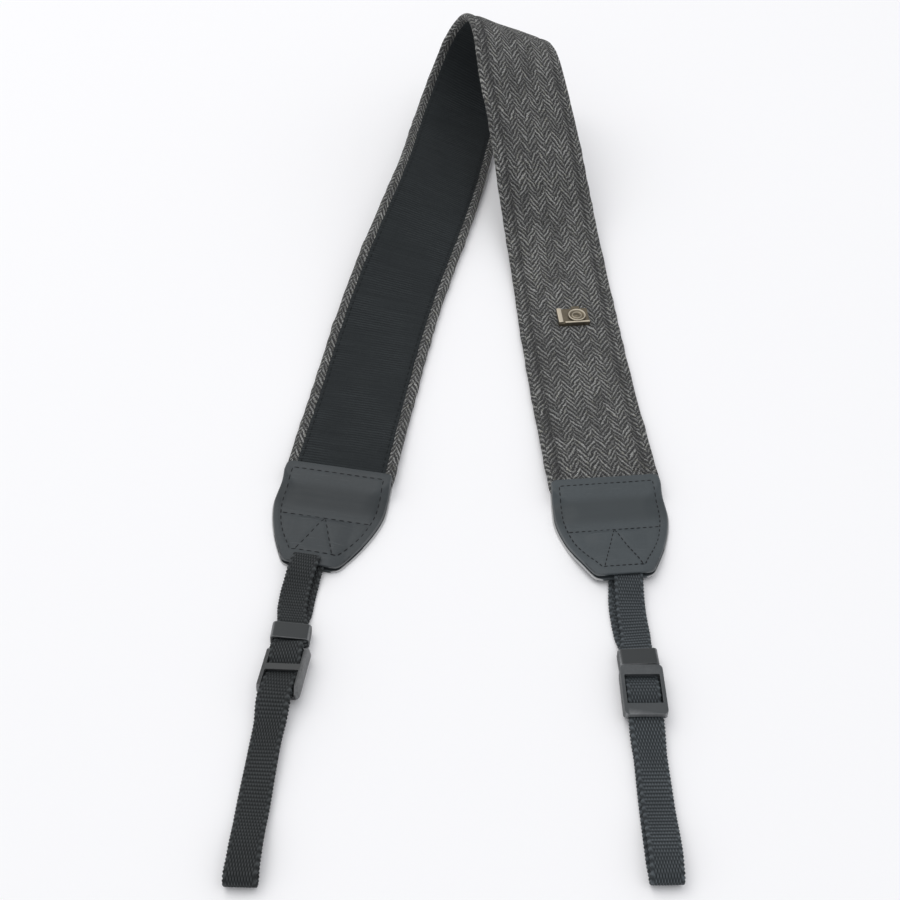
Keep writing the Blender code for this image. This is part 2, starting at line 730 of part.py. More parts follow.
def centre_on_origin(groups, solids):
    """Hangs every piece on one empty, then brings the strap's middle over the origin."""
    root = bpy.data.objects.new("camera_strap_root", None)
    solids.objects.link(root)
    bpy.context.view_layer.update()
    depsgraph = bpy.context.evaluated_depsgraph_get()
    places = []
    for item in solids.objects:
        if item.type != "MESH":
            continue
        shape = item.evaluated_get(depsgraph)
        places += [item.matrix_world @ vertex.co for vertex in shape.to_mesh().vertices]
        shape.to_mesh_clear()
    for group in groups:
        for item in group.objects:
            if item is not root:
                item.parent = root
    across = [place.x for place in places]
    away = [place.y for place in places]
    root.location = (-(min(across) + max(across)) / 2, -(min(away) + max(away)) / 2, 0)
    bpy.context.view_layer.update()


def main():
    clear_scene()
    group = make_collection("camera_strap")
    cutters = make_collection("cutters")
    materials = {name: make_material(name) for name in COLOURS}
    make_band(materials, group)
    for side in ("left", "right"):
        make_tab(side, materials, group)
        make_webbing(side, materials, group)
        make_keeper(side, materials, group, cutters)
        make_slider(side, materials, group, cutters)
    make_badge(materials, group, cutters)
    centre_on_origin((group, cutters), group)


main()
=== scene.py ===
# %% [markdown]
# A camera strap, piece by piece. The strap lies on a table as an upside-down V: the left leg shows
# its black lining, the band bends up and over at the far end, and the right leg shows its tweed.
# Each soft piece is modelled flat, as a maker cuts it, and then laid where the strap lies.

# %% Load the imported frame
import functools
import math

import bmesh
import bpy
from mathutils import Matrix, Vector, noise


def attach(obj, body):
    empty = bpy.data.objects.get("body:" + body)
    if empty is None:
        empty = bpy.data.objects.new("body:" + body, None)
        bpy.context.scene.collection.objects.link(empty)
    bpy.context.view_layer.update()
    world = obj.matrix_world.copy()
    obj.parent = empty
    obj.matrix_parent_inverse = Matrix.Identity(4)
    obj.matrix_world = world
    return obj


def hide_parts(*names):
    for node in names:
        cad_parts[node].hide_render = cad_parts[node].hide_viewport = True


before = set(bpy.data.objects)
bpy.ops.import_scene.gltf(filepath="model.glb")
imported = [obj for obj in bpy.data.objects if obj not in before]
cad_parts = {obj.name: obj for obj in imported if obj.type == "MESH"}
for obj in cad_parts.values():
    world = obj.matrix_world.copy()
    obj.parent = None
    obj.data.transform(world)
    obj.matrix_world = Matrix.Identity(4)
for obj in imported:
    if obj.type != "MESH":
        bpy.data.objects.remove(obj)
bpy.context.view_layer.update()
MM = 0.001
print("nodes in the frame:", sorted(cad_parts))

# %% [markdown]
# The camera looks down at 46 degrees from where the strap's wearer would stand. A pale table and a
# broad soft light leave only faint shadows, as in a product photograph, so the cloth's own tones
# tell the story.

# %% Camera
CAMERA_FOOT = Vector((-6.635, -377.686, 0.0)) * MM
CAMERA_HEIGHT = 359.5 * MM
CAMERA_DOWN = math.radians(46)
LENS = 53.88
SENSOR = 36.0

camera_data = bpy.data.cameras.new("camera")
camera_data.lens = LENS
camera_data.sensor_width = SENSOR
camera_data.clip_start = 10 * MM
camera = bpy.data.objects.new("camera", camera_data)
bpy.context.scene.collection.objects.link(camera)
camera.location = CAMERA_FOOT + Vector((0, 0, CAMERA_HEIGHT))
camera.rotation_euler = (math.pi / 2 - CAMERA_DOWN, 0, 0)
bpy.context.scene.camera = camera
print("camera at", tuple(round(value, 3) for value in camera.location))

# %% Light
WORLD_STRENGTH = 0.72
WORLD_COLOUR = (0.97, 0.98, 1.0, 1.0)
bpy.context.scene.view_settings.view_transform = "Standard"
world = bpy.data.worlds.new("soft_room")
bpy.context.scene.world = world
world.use_nodes = True
room = world.node_tree.nodes["Background"]
room.inputs["Color"].default_value = WORLD_COLOUR
room.inputs["Strength"].default_value = WORLD_STRENGTH


def add_lamp(name, place, width, power, colour):
    """A square soft box that looks from a place at the middle of the table."""
    lamp = bpy.data.lights.new(name, "AREA")
    lamp.size = width
    lamp.energy = power
    lamp.color = colour
    item = bpy.data.objects.new(name, lamp)
    bpy.context.scene.collection.objects.link(item)
    item.location = place
    item.rotation_euler = (-Vector(place)).to_track_quat("-Z", "Y").to_euler()


add_lamp("window", (-0.6, 0.6, 1.8), 1.5, 11.5, (1.0, 0.99, 0.97))
add_lamp("fill", (0.6, -0.4, 1.8), 1.2, 3.4, (0.95, 0.97, 1.0))

# %% [markdown]
# Materials come from small node groups. A group works out a pattern once, such as a weave or a
# grain, and every material that needs it places the group with its own values. A pattern is mostly
# sums, and a tree of Math nodes is hard to read as code. So the class Wire stands for a value in a
# tree, and a plus or a times sign between two wires adds the Math node that works it out.

# %% Helpers for nodes
class Wire:
    """A value that comes out of a node. Signs between wires and numbers add Math nodes."""

    def __init__(self, socket):
        self.socket = socket
        self.tree = socket.id_data

    def __add__(self, other):
        return sums("ADD", self, other)

    def __sub__(self, other):
        return sums("SUBTRACT", self, other)

    def __rsub__(self, other):
        return sums("SUBTRACT", other, self)

    def __mul__(self, other):
        return sums("MULTIPLY", self, other)

    def __truediv__(self, other):
        return sums("DIVIDE", self, other)

    def __abs__(self):
        return sums("ABSOLUTE", self)


def feed(socket, value):
    """Links a wire to an input, or sets the input to a plain value."""
    if isinstance(value, Wire):
        value.tree.links.new(value.socket, socket)
    else:
        socket.default_value = value


def add_node(kind, inputs, output=0, tree=None, **settings):
    """Adds a node to the tree of its input wires and gives the wire of one output."""
    tree = tree or next(value.tree for value in inputs.values() if isinstance(value, Wire))
    made = tree.nodes.new(kind)
    for name, value in settings.items():
        setattr(made, name, value)
    for key, value in inputs.items():
        feed(made.inputs[key], value)
    return Wire(made.outputs[output])


def sums(operation, *values):
    """The result of one Math node."""
    return add_node("ShaderNodeMath", dict(enumerate(values)), operation=operation)


def step_between(value, low, high):
    """0 below low, 1 above high, smooth between."""
    inputs = {"Value": value, "From Min": low, "From Max": high}
    return add_node("ShaderNodeMapRange", inputs, "Result", interpolation_type="SMOOTHSTEP")


def speckle(place, scale, detail=2.0):
    """Noise from about 0.2 to 0.8 at a scale per millimetre."""
    inputs = {"Vector": place, "Scale": scale, "Detail": detail}
    return add_node("ShaderNodeTexNoise", inputs, "Fac")


def blend(share, first, second):
    """A number between two numbers."""
    return add_node("ShaderNodeMix", {0: share, 2: first, 3: second}, data_type="FLOAT")


def blend_colours(share, first, second):
    return add_node("ShaderNodeMix", {0: share, 6: first, 7: second}, 2, data_type="RGBA")


def axis_of(place, axis):
    """One number of a place: 0 across, 1 along."""
    return add_node("ShaderNodeSeparateXYZ", {0: place}, axis)


def stretch(place, across, along):
    """A place that runs slower or faster, so that noise on it becomes streaks."""
    return add_node("ShaderNodeMapping", {"Vector": place, "Scale": (across, along, 1.0)})


def attribute(tree, name, output="Fac"):
    """What a mesh keeps at its vertices under a name."""
    return add_node("ShaderNodeAttribute", {}, output, tree, attribute_name=name)


def new_group(name, **numbers):
    """Starts a node group with a Place and some numbers, and gives the wires of its inputs."""
    tree = bpy.data.node_groups.new(name, "ShaderNodeTree")
    tree.interface.new_socket("Place", in_out="INPUT", socket_type="NodeSocketVector")
    for label, default in numbers.items():
        socket = tree.interface.new_socket(label, in_out="INPUT", socket_type="NodeSocketFloat")
        socket.default_value = default
    return {socket.name: Wire(socket) for socket in tree.nodes.new("NodeGroupInput").outputs}


def close_group(given, **results):
    """Gives a group its outputs and prints its sockets."""
    tree = given["Place"].tree
    for label in results:
        tree.interface.new_socket(label, in_out="OUTPUT", socket_type="NodeSocketFloat")
    leave = tree.nodes.new("NodeGroupOutput")
    for label, wire in results.items():
        feed(leave.inputs[label], wire)
    print(tree.name, "has the sockets", [item.name for item in tree.interface.items_tree])
    return tree


def use_group(group, place, **numbers):
    """Places a group and gives the wires of its outputs by name."""
    made = place.tree.nodes.new("ShaderNodeGroup")
    made.node_tree = group
    feed(made.inputs["Place"], place)
    for label, value in numbers.items():
        feed(made.inputs[label], value)
    return {socket.name: Wire(socket) for socket in made.outputs}


# %% [markdown]
# Herringbone is a twill whose slant turns back at every column. Light yarns lie over dark ones, so
# each column shows slanted light strokes on a dark ground. A triangle wave across the strap gives
# the slant, and the strokes shift by half a step from column to column, as in the real weave. Wool
# is uneven: one noise bends the columns, a finer one frays the strokes, and each stroke gets its
# own strength from white noise on its number.

# %% Group: herringbone weave
def shaken(place, scale, amount):
    """A place moved about by noise of one scale, by up to an amount in millimetres."""
    colour = add_node("ShaderNodeTexNoise", {"Vector": place, "Scale": scale, "Detail": 1.0}, "Color")
    centred = add_node("ShaderNodeVectorMath", {0: colour, 1: (0.5, 0.5, 0.5)}, operation="SUBTRACT")
    pushed = add_node("ShaderNodeVectorMath", {0: centred, "Scale": amount * 3.0}, operation="SCALE")
    return add_node("ShaderNodeVectorMath", {0: place, 1: pushed}, operation="ADD")


START_ACROSS = 400.0


def make_herringbone():
    """Columns are counted from far to one side, so that no number is below 0."""
    given = new_group("herringbone", Column=3.6, Pitch=2.7, Slant=1.5, Ragged=0.6, Fuzz=0.34)
    place = shaken(given["Place"], 0.3, given["Ragged"])
    place = shaken(place, 2.4, given["Fuzz"])
    across = axis_of(place, 0) + START_ACROSS
    column = across / given["Column"]
    number = sums("FLOOR", column)
    zigzag = sums("PINGPONG", across, given["Column"])
    slanted = axis_of(place, 1) + zigzag * given["Slant"]
    turns = slanted / given["Pitch"] + sums("MODULO", number, 2.0) * 0.5
    from_middle = abs(sums("FRACT", turns) - 0.5)
    stroke = 1.0 - step_between(from_middle, 0.05, 0.31)
    named = add_node("ShaderNodeCombineXYZ", {0: number, 1: sums("FLOOR", turns)})
    strength = add_node("ShaderNodeTexWhiteNoise", {"Vector": named}, "Value") * 0.8 + 0.4
    fibre = speckle(given["Place"], 2.6, 3.0)
    frayed = (fibre - 0.22) * 2.6
    to_edge = 0.5 - abs(sums("FRACT", column) - 0.5)
    joined = step_between(to_edge, 0.0, 0.13)
    light = stroke * strength * frayed * (joined * 0.45 + 0.55) + step_between(fibre, 0.5, 0.7) * 0.4
    yarns = abs(sums("SINE", turns * (2 * math.pi)))
    height = yarns * (joined * 0.6 + 0.4) + fibre * 0.7
    fleck = step_between(speckle(given["Place"], 0.9, 1.0), 0.52, 0.66)
    return close_group(given, Light=light, Height=height, Fleck=fleck)


herringbone = make_herringbone()

# %% [markdown]
# The lining is a ribbed black cloth: close ribs straight across, with the warp yarns showing on
# them as a faint row of dots. A sine along the cloth makes the ribs, and a faster one across makes
# the dots.

# %% Group: ribs
def make_ribs():
    given = new_group("ribs", Rib=1.3, Yarn=0.9, Dots=0.25, Ragged=0.2)
    place = shaken(given["Place"], 0.8, given["Ragged"])
    along = axis_of(place, 1) / given["Rib"] * math.pi
    across = axis_of(place, 0) / given["Yarn"] * math.pi
    rib = abs(sums("SINE", along))
    dots = abs(sums("SINE", across + along))
    tone = blend(given["Dots"], rib, rib * dots)
    return close_group(given, Height=tone + speckle(given["Place"], 5.0) * 0.4, Tone=tone)


ribs = make_ribs()

# %% [markdown]
# Handling leaves its mark on everything: patches a shade lighter or darker, and a little dust. One
# group makes such patches for all materials. A second makes the fine skin of leather and plastic.

# %% Groups: patches of tone, and a fine skin
def make_patches():
    given = new_group("patches", Broad=0.03, Close=0.4)
    place = given["Place"]
    tone = speckle(place, given["Broad"]) * 0.6 + speckle(place, given["Close"], 4.0) * 0.4
    return close_group(given, Tone=tone, Dust=step_between(speckle(place, 2.6, 1.0), 0.70, 0.78))


def make_skin():
    given = new_group("skin", Size=1.6, Soft=0.5)
    place, size = given["Place"], given["Size"]
    cells = add_node("ShaderNodeTexVoronoi", {"Vector": place, "Scale": size}, "Distance",
                     feature="SMOOTH_F1")
    return close_group(given, Height=cells * given["Soft"] + speckle(place, size * 2.2, 3.0) * 0.6)


patches = make_patches()
skin = make_skin()

# %% [markdown]
# Each material reads the piece's flat place in millimetres, which is stored on the mesh as the
# attribute "flat": across, along and through the cloth. A pattern then follows the cloth round
# every bend. Hard pieces read their Object coordinates instead. The helpers below start a material
# with that place, and finish it with a colour, a relief and its other looks.

# %% Start and finish a material
def start_material(name, flat=True):
    """A new material and the wire of the place that its patterns read."""
    material = bpy.data.materials.new(name)
    material.use_nodes = True
    tree = material.node_tree
    if flat:
        return material, attribute(tree, "flat", "Vector")
    metres = add_node("ShaderNodeTexCoord", {}, "Object", tree)
    return material, add_node("ShaderNodeVectorMath", {0: metres, "Scale": 1 / MM}, operation="SCALE")


def finish_material(material, colour, height, depth, strength, looks):
    """Joins colour and relief to the shader. Looks are its other inputs, as wires or numbers."""
    shader = material.node_tree.nodes["Principled BSDF"]
    bump = add_node("ShaderNodeBump", {"Height": height, "Distance": depth, "Strength": strength})
    feed(shader.inputs["Base Color"], colour)
    feed(shader.inputs["Normal"], bump)
    for name, value in looks.items():
        feed(shader.inputs[name], value)
    print("made the material", material.name)
    return material


# %% [markdown]
# The tweed is wool: rough, matt and a little hairy. A picture of cloth could be laid on it, but it
# would repeat, and its yarns couldn't be changed one by one. So the herringbone group mixes a dark
# and a light yarn, and the light one turns olive in flecks. A little sheen stands for the hairs.

# %% Material: tweed
TWEED_DARK = (0.027, 0.027, 0.028, 1)
TWEED_LIGHT = (0.500, 0.502, 0.490, 1)
TWEED_OLIVE = (0.330, 0.325, 0.255, 1)


def make_tweed():
    """Light yarns on dark ones, some of them olive, and painted shade where the seam presses them in.
    """
    material, place = start_material("tweed_cloth")
    weave = use_group(herringbone, place)
    tone = use_group(patches, place, Broad=0.05, Close=0.9)["Tone"]
    light = blend_colours(weave["Fleck"] * 0.6, TWEED_LIGHT, TWEED_OLIVE)
    colour = blend_colours(weave["Light"] * (tone + 0.35), TWEED_DARK, light)
    # Painted shade: the tweed is darker in the seam's groove.
    colour = blend_colours(attribute(place.tree, "painted_seam_shade") * 0.7, colour, TWEED_DARK)
    looks = {"Roughness": 0.95, "Specular IOR Level": 0.15, "Sheen Weight": 0.06,
             "Sheen Roughness": 0.6}
    return finish_material(material, colour, weave["Height"], 0.3 * MM, 0.9, looks)


tweed = make_tweed()

# %% [markdown]
# The lining and the webbing are both black weaves, and relief tells them apart. The lining's ribs
# are finer than its mesh, so they are bump and a slight change of tone. The webbing's beads are
# coarse enough to be mesh, so its material only reads how high each bead is and paints its top
# lighter, as a painted highlight.

# %% Material: lining and webbing
LINING_BLACK = (0.0082, 0.0102, 0.0116, 1)
LINING_RIB = (0.0350, 0.0410, 0.0432, 1)
DUST = (0.2, 0.2, 0.21, 1)
# Each side has a black and a painted highlight for the bead tops. Both webbings are the same strap;
# the right one is painted lighter and bluer than the left, as lit and shaded copies.
WEBBING_TONES_LIT_BY_SIDE = {
    "left": ((0.0040, 0.0050, 0.0056, 1), (0.096, 0.106, 0.110, 1)),
    "right": ((0.0115, 0.0145, 0.0165, 1), (0.150, 0.172, 0.188, 1)),
}


def make_lining_cloth():
    """Black ribs that show in some patches and are smooth in others, with uneven rows and dust."""
    material, place = start_material("lining_cloth")
    weave = use_group(ribs, place)
    tone = use_group(patches, place, Broad=0.02, Close=0.5)
    row = speckle(stretch(place, 0.05, 0.8), 1.0)
    shown = step_between(speckle(place, 0.045, 1.0), 0.36, 0.60)
    ribbed = blend(shown, 0.5, weave["Tone"])
    share = ribbed * ((tone["Tone"] + 0.25) * (row + 0.5))
    colour = blend_colours(share, LINING_BLACK, LINING_RIB)
    colour = blend_colours(tone["Dust"] * 0.12, colour, DUST)
    looks = {"Roughness": 0.85, "Specular IOR Level": 0.2}
    return finish_material(material, colour, weave["Height"], 0.14 * MM, 0.8, looks)


def make_webbing_cloth(side):
    """The webbing's beads are in its mesh. Their height, from 0 to 1, is the attribute "bead"."""
    material, place = start_material(f"{side}_webbing_cloth")
    bead = attribute(place.tree, "bead")
    fibre = speckle(place, 5.5)
    tone = use_group(patches, place, Broad=0.08, Close=0.7)["Tone"]
    # Painted highlight: the higher a bead, the lighter its top.
    share = sums("POWER", bead, 2.6) * (tone + 0.3) * (fibre + 0.5)
    colour = blend_colours(share, *WEBBING_TONES_LIT_BY_SIDE[side])
    looks = {"Roughness": 0.8 - bead * 0.2, "Specular IOR Level": 0.25}
    return finish_material(material, colour, fibre, 0.06 * MM, 0.7, looks)


lining_cloth = make_lining_cloth()
webbing_cloths = {side: make_webbing_cloth(side) for side in WEBBING_TONES_LIT_BY_SIDE}

# %% [markdown]
# The leather is smooth slate grey with a dull shine. Its cut rim is pale, because only the face is
# dyed, and use leaves faint streaks across it. The mesh marks the rim with an attribute, and noise
# that is stretched across the leather gives the streaks.

# %% Material: leather
# Both ends are the same leather. The right end's tones are painted lighter and the left end's darker,
# as lit and shaded copies of one leather.
LEATHER_TONES_LIT_BY_SIDE = {
    "left": ((0.023, 0.028, 0.031, 1), (0.058, 0.066, 0.071, 1)),
    "right": ((0.036, 0.044, 0.048, 1), (0.070, 0.083, 0.091, 1)),
}
LEATHER_SCUFF = (0.130, 0.138, 0.142, 1)
LEATHER_RIM = (0.46, 0.46, 0.46, 1)


def make_leather(side):
    """Smooth slate leather with a fine grain, faint streaks from rubbing and a pale cut rim. It is
    painted darker in a band 7.5 to 21.5 mm along, as painted shade on the slope down off the
    padding."""
    material, place = start_material(f"{side}_slate_leather")
    dark, light = LEATHER_TONES_LIT_BY_SIDE[side]
    tone = use_group(patches, place, Broad=0.07, Close=0.8)["Tone"]
    grain = use_group(skin, place, Size=2.4, Soft=0.35)["Height"]
    streak = step_between(speckle(stretch(place, 0.10, 1.3), 1.0, 3.0), 0.60, 0.74)
    along = axis_of(place, 1)
    # Painted shade: a band 7.5 to 21.5 mm along is darkened where the leather slopes down off the
    # padding.
    painted_slope_shade = step_between(along, 7.5, 11.5) - step_between(along, 16.0, 21.5)
    colour = blend_colours(tone, dark, light)
    colour = blend_colours(streak * 0.22, colour, LEATHER_SCUFF)
    colour = blend_colours(painted_slope_shade * 0.9, colour, dark)
    colour = blend_colours(attribute(place.tree, "rim"), colour, LEATHER_RIM)
    looks = {"Roughness": tone * 0.22 + 0.40, "Specular IOR Level": 0.35}
    return finish_material(material, colour, grain + streak * 0.5, 0.05 * MM, 0.55, looks)


leathers = {side: make_leather(side) for side in LEATHER_TONES_LIT_BY_SIDE}

# %% [markdown]
# Thread is dark and matt, and a stitch has only a few faces, so its finish is plain: two shades of
# one colour that change slowly from stitch to stitch. Each seam has its own colour.

# %% Material: thread
THREADS = {
    "leather": (0.020, 0.021, 0.023, 1),
    "seam": (0.034, 0.034, 0.036, 1),
    "lining": (0.019, 0.022, 0.024, 1),
}
THREAD_SHADE = 0.6


def make_thread(use):
    material, place = start_material(f"{use}_thread", flat=False)
    tone = use_group(patches, place, Broad=0.2, Close=2.0)["Tone"]
    light = THREADS[use]
    dark = tuple(value * THREAD_SHADE for value in light[:3]) + (1,)
    looks = {"Roughness": 0.75, "Specular IOR Level": 0.2}
    return finish_material(material, blend_colours(tone, dark, light), tone, 0.05 * MM, 0.5, looks)


threads = {use: make_thread(use) for use in THREADS}

# %% [markdown]
# Moulded plastic is satin, and its edges turn pale: partly wear where they rub, partly painted
# highlight. Bands past the ends or a flank of the sliders are painted lighter too, as highlight
# with some wear at the far end. The mesh marks those places, and patches of tone break the paler
# edges up. The badge is cast metal, so its shader is metallic: dark in the hollows, and bright on
# the rims that fingers and cloth reach.

# %% Material: plastic and brass
# The two sliders are the same plastic: the right one is painted lighter and the left one darker, as
# lit and shaded copies.
PLASTIC_TONES = {
    "keeper": ((0.012, 0.0145, 0.016, 1), (0.020, 0.024, 0.026, 1)),
    "left_slider": ((0.021, 0.023, 0.024, 1), (0.038, 0.040, 0.041, 1)),
    "right_slider": ((0.027, 0.031, 0.034, 1), (0.051, 0.057, 0.061, 1)),
}
PLASTIC_WEAR_AND_HIGHLIGHT = (0.25, 0.255, 0.26, 1)
BRASS_DARK = (0.070, 0.058, 0.040, 1)
BRASS_LIGHT = (0.240, 0.205, 0.150, 1)
BRASS_RUBBED = (0.58, 0.52, 0.42, 1)


def make_plastic(use):
    """Satin moulded plastic: faint mottling, a fine moulded grain and lighter edges, from wear and
    painted highlight.
    """
    material, place = start_material(f"{use}_plastic", flat=False)
    tone = use_group(patches, place, Broad=0.12, Close=1.2)["Tone"]
    grain = use_group(skin, place, Size=4.5, Soft=0.3)["Height"]
    # Wear and painted highlight: paler edges, and paler bands where a slider is painted as lit.
    wear_and_highlight_share = attribute(place.tree, "wear_and_highlight") * (tone * 2.4 - 0.6)
    colour = blend_colours(tone, *PLASTIC_TONES[use])
    colour = blend_colours(wear_and_highlight_share, colour, PLASTIC_WEAR_AND_HIGHLIGHT)
    looks = {"Roughness": tone * 0.24 + 0.38}
    return finish_material(material, colour, grain, 0.03 * MM, 0.45, looks)


def make_brass():
    """Antique brass: dark in its hollows, rubbed bright on its rims, which the attribute holds."""
    material, place = start_material("antique_brass", flat=False)
    tone = use_group(patches, place, Broad=0.5, Close=2.0)["Tone"]
    colour = blend_colours(tone, BRASS_DARK, BRASS_LIGHT)
    colour = blend_colours(attribute(place.tree, "rubbed"), colour, BRASS_RUBBED)
    looks = {"Roughness": tone * 0.25 + 0.34, "Metallic": 0.9}
    return finish_material(material, colour, tone, 0.06 * MM, 0.4, looks)


plastics = {use: make_plastic(use) for use in PLASTIC_TONES}
brass = make_brass()

# %% [markdown]
# The table under the strap is part of the scene, not of the strap. It is close to white and fully
# matte, and large enough that no edge shows from any side.

# %% The table
FLOOR_WIDTH = 12.0
FLOOR_DROP = 0.05 * MM
FLOOR_WHITE = (0.965, 0.96, 0.97, 1)
floor_mesh = bmesh.new()
bmesh.ops.create_grid(floor_mesh, x_segments=1, y_segments=1, size=FLOOR_WIDTH / 2)
bmesh.ops.translate(floor_mesh, verts=floor_mesh.verts, vec=(0, 0, -FLOOR_DROP))
floor_data = bpy.data.meshes.new("table_top")
floor_mesh.to_mesh(floor_data)
floor_mesh.free()
floor = bpy.data.objects.new("table_top", floor_data)
bpy.context.scene.collection.objects.link(floor)
floor_material = bpy.data.materials.new("table_white")
floor_material.use_nodes = True
floor_shader = floor_material.node_tree.nodes["Principled BSDF"]
floor_shader.inputs["Base Color"].default_value = FLOOR_WHITE
floor_shader.inputs["Roughness"].default_value = 0.9
floor_shader.inputs["Specular IOR Level"].default_value = 0.1
floor_data.materials.append(floor_material)
print("table:", FLOOR_WIDTH, "m wide")

# %% [markdown]
# The band is 542 mm long between its leather ends. A short table says where it goes: for a place
# along it, how far across and away it is, how high its lower edge is, how its width is turned in
# plan and how steeply it is banked. A spline through the rows gives every place between.

# %% The band's sizes and route
BAND_LENGTH = 542 * MM
BAND_WIDTH = 40 * MM
BAND_THICKNESS = 3.0 * MM
HEM_WIDTH = 3.6 * MM
LEATHER = 1.1 * MM
CLEARANCE = 0.3 * MM
TAB_LENGTH = 44 * MM
BAND_INSET = 17 * MM

BAND_ROUTE_COLUMNS = ("along", "across", "away", "rise", "turn", "bank")
BAND_ROUTE = (
    (0.000, -0.073, 0.615, 0.000, -11, 0),
    (0.100, -0.058, 0.713, 0.000, -11, 1),
    (0.200, -0.039, 0.811, 0.000, -11, 9),
    (0.280, -0.019, 0.889, 0.001, -10, 19),
    (0.340, -0.006, 0.947, 0.001, -9, 22),
    (0.390, 0.002, 0.997, 0.001, -9, 19),
    (0.430, 0.010, 1.035, 0.003, -8, 23),
    (0.465, 0.021, 1.062, 0.018, -4, 29),
    (0.495, 0.033, 1.069, 0.043, 4, 30),
    (0.525, 0.045, 1.054, 0.067, 10, 27),
    (0.560, 0.054, 1.022, 0.078, 12, 18),
    (0.600, 0.060, 0.985, 0.069, 9, 11),
    (0.640, 0.067, 0.951, 0.051, 9, 10),
    (0.675, 0.072, 0.920, 0.036, 8, 7),
    (0.710, 0.077, 0.892, 0.019, 6, 4),
    (0.760, 0.083, 0.845, 0.005, 5, 1),
    (0.840, 0.089, 0.765, 0.000, 5, 0),
    (1.000, 0.102, 0.606, 0.000, 5, 0),
)


def ease(value):
    """0 below 0, 1 above 1 and a smooth step between."""
    value = min(max(value, 0.0), 1.0)
    return value * value * (3 - 2 * value)


def spline(rows, column):
    """A natural cubic spline through one column, as a function of the first column."""
    knots = [row[0] for row in rows]
    values = [row[column] for row in rows]
    count = len(knots)
    gaps = [after - before for before, after in zip(knots, knots[1:])]
    bends = [0.0] * count
    upper = [0.0] * count
    for i in range(1, count - 1):
        slope_out = (values[i + 1] - values[i]) / gaps[i]
        slope_in = (values[i] - values[i - 1]) / gaps[i - 1]
        pivot = 2 * (gaps[i - 1] + gaps[i]) - gaps[i - 1] * upper[i - 1]
        upper[i] = gaps[i] / pivot
        bends[i] = (6 * (slope_out - slope_in) - gaps[i - 1] * bends[i - 1]) / pivot
    for i in range(count - 2, 0, -1):
        bends[i] -= upper[i] * bends[i + 1]

    def at(place):
        i = 0
        while i < count - 2 and place > knots[i + 1]:
            i += 1
        after = (place - knots[i]) / gaps[i]
        before = 1 - after
        curve = (before ** 3 - before) * bends[i] + (after ** 3 - after) * bends[i + 1]
        return before * values[i] + after * values[i + 1] + curve * gaps[i] ** 2 / 6

    return at


ROUTE = {name: spline(BAND_ROUTE, i) for i, name in enumerate(BAND_ROUTE_COLUMNS) if i}
print("the band is highest at", round(max(row[3] for row in BAND_ROUTE) * BAND_LENGTH / MM, 1), "mm")

# %% Places on the band
def band_centre(share):
    """The middle of the band's thickness and width, and its across."""
    turn = math.radians(ROUTE["turn"](share))
    bank = math.radians(ROUTE["bank"](share))
    rise = max(ROUTE["rise"](share), 0.0) * BAND_LENGTH
    from_end = min(share, 1 - share) * BAND_LENGTH
    rise += (LEATHER + CLEARANCE) * (1 - ease(from_end / TAB_LENGTH))
    half_height = abs(math.sin(bank)) * BAND_WIDTH / 2 + math.cos(bank) * BAND_THICKNESS / 2
    centre = CAMERA_FOOT + Vector((
        ROUTE["across"](share) * BAND_LENGTH,
        ROUTE["away"](share) * BAND_LENGTH,
        rise + half_height,
    ))
    flat = math.cos(bank)
    across = Vector((flat * math.cos(turn), flat * math.sin(turn), -math.sin(bank)))
    return centre, across


@functools.lru_cache(maxsize=None)
def band_station(share):
    """Centre, across and the direction that the lining faces."""
    centre, across = band_centre(share)
    step = 0.002
    ahead = band_centre(min(share + step, 1.0))[0]
    behind = band_centre(max(share - step, 0.0))[0]
    facing = across.cross(ahead - behind).normalized()
    return centre, across, facing


@functools.lru_cache(maxsize=None)
def end_frame(side):
    """Origin on the table at the band's end, the way out along the leg, and across."""
    centre, across = band_centre(0.0 if side == "left" else 1.0)
    across = Vector((across.x, across.y, 0)).normalized()
    out = Vector((across.y, -across.x, 0))
    return Vector((centre.x, centre.y, 0)), out, across


PAD_DEPTH = BAND_INSET * 0.8
PAD_PRESSED = 0.32
PRESSED_FROM = 3 * MM
END_NARROWED = 9 * MM


def pressed_share(depth):
    """How far the padding is pressed, at a depth inside the leathers."""
    return ease((depth - PRESSED_FROM) / (PAD_DEPTH - PRESSED_FROM))


def band_place(across_by, along_by, through):
    """From a place on the flat band to the place where it lies. Inside the leathers the band's end
    gets thinner and narrower, down towards the lower leather."""
    inside = max(-along_by, along_by - BAND_LENGTH, 0.0)
    share = min(max(along_by / BAND_LENGTH, 0.0), 1.0)
    centre, across, facing = band_station(round(share, 6))
    if inside:
        pressed = pressed_share(inside)
        centre = centre + end_frame("left" if along_by < 0 else "right")[1] * inside
        across_by *= 1 - 2 * END_NARROWED / BAND_WIDTH * pressed
        turned = 1 if facing.z > 0 else -1
        over_leather = through * turned + BAND_THICKNESS / 2
        over_leather *= 1 - (1 - PAD_PRESSED) * pressed
        through = turned * (over_leather - BAND_THICKNESS / 2)
    return centre + across * across_by + facing * through


print("the bend's middle is at", tuple(round(v / MM) for v in band_place(0, BAND_LENGTH / 2, 0)), "mm")

# %% [markdown]
# Every strip starts as a cube stretched to the strip's flat size. Its long edges are bevelled round
# and it is cut across and along. The flat place of each vertex is stored, then the strip is bent
# onto its route. Nothing of the bend is typed in by hand.

# %% Strips and pieces
def box(size, middle):
    """A closed box of one size about one middle."""
    mesh = bmesh.new()
    bmesh.ops.create_cube(mesh, size=1.0)
    bmesh.ops.scale(mesh, vec=size, verts=mesh.verts)
    bmesh.ops.translate(mesh, vec=middle, verts=mesh.verts)
    return mesh


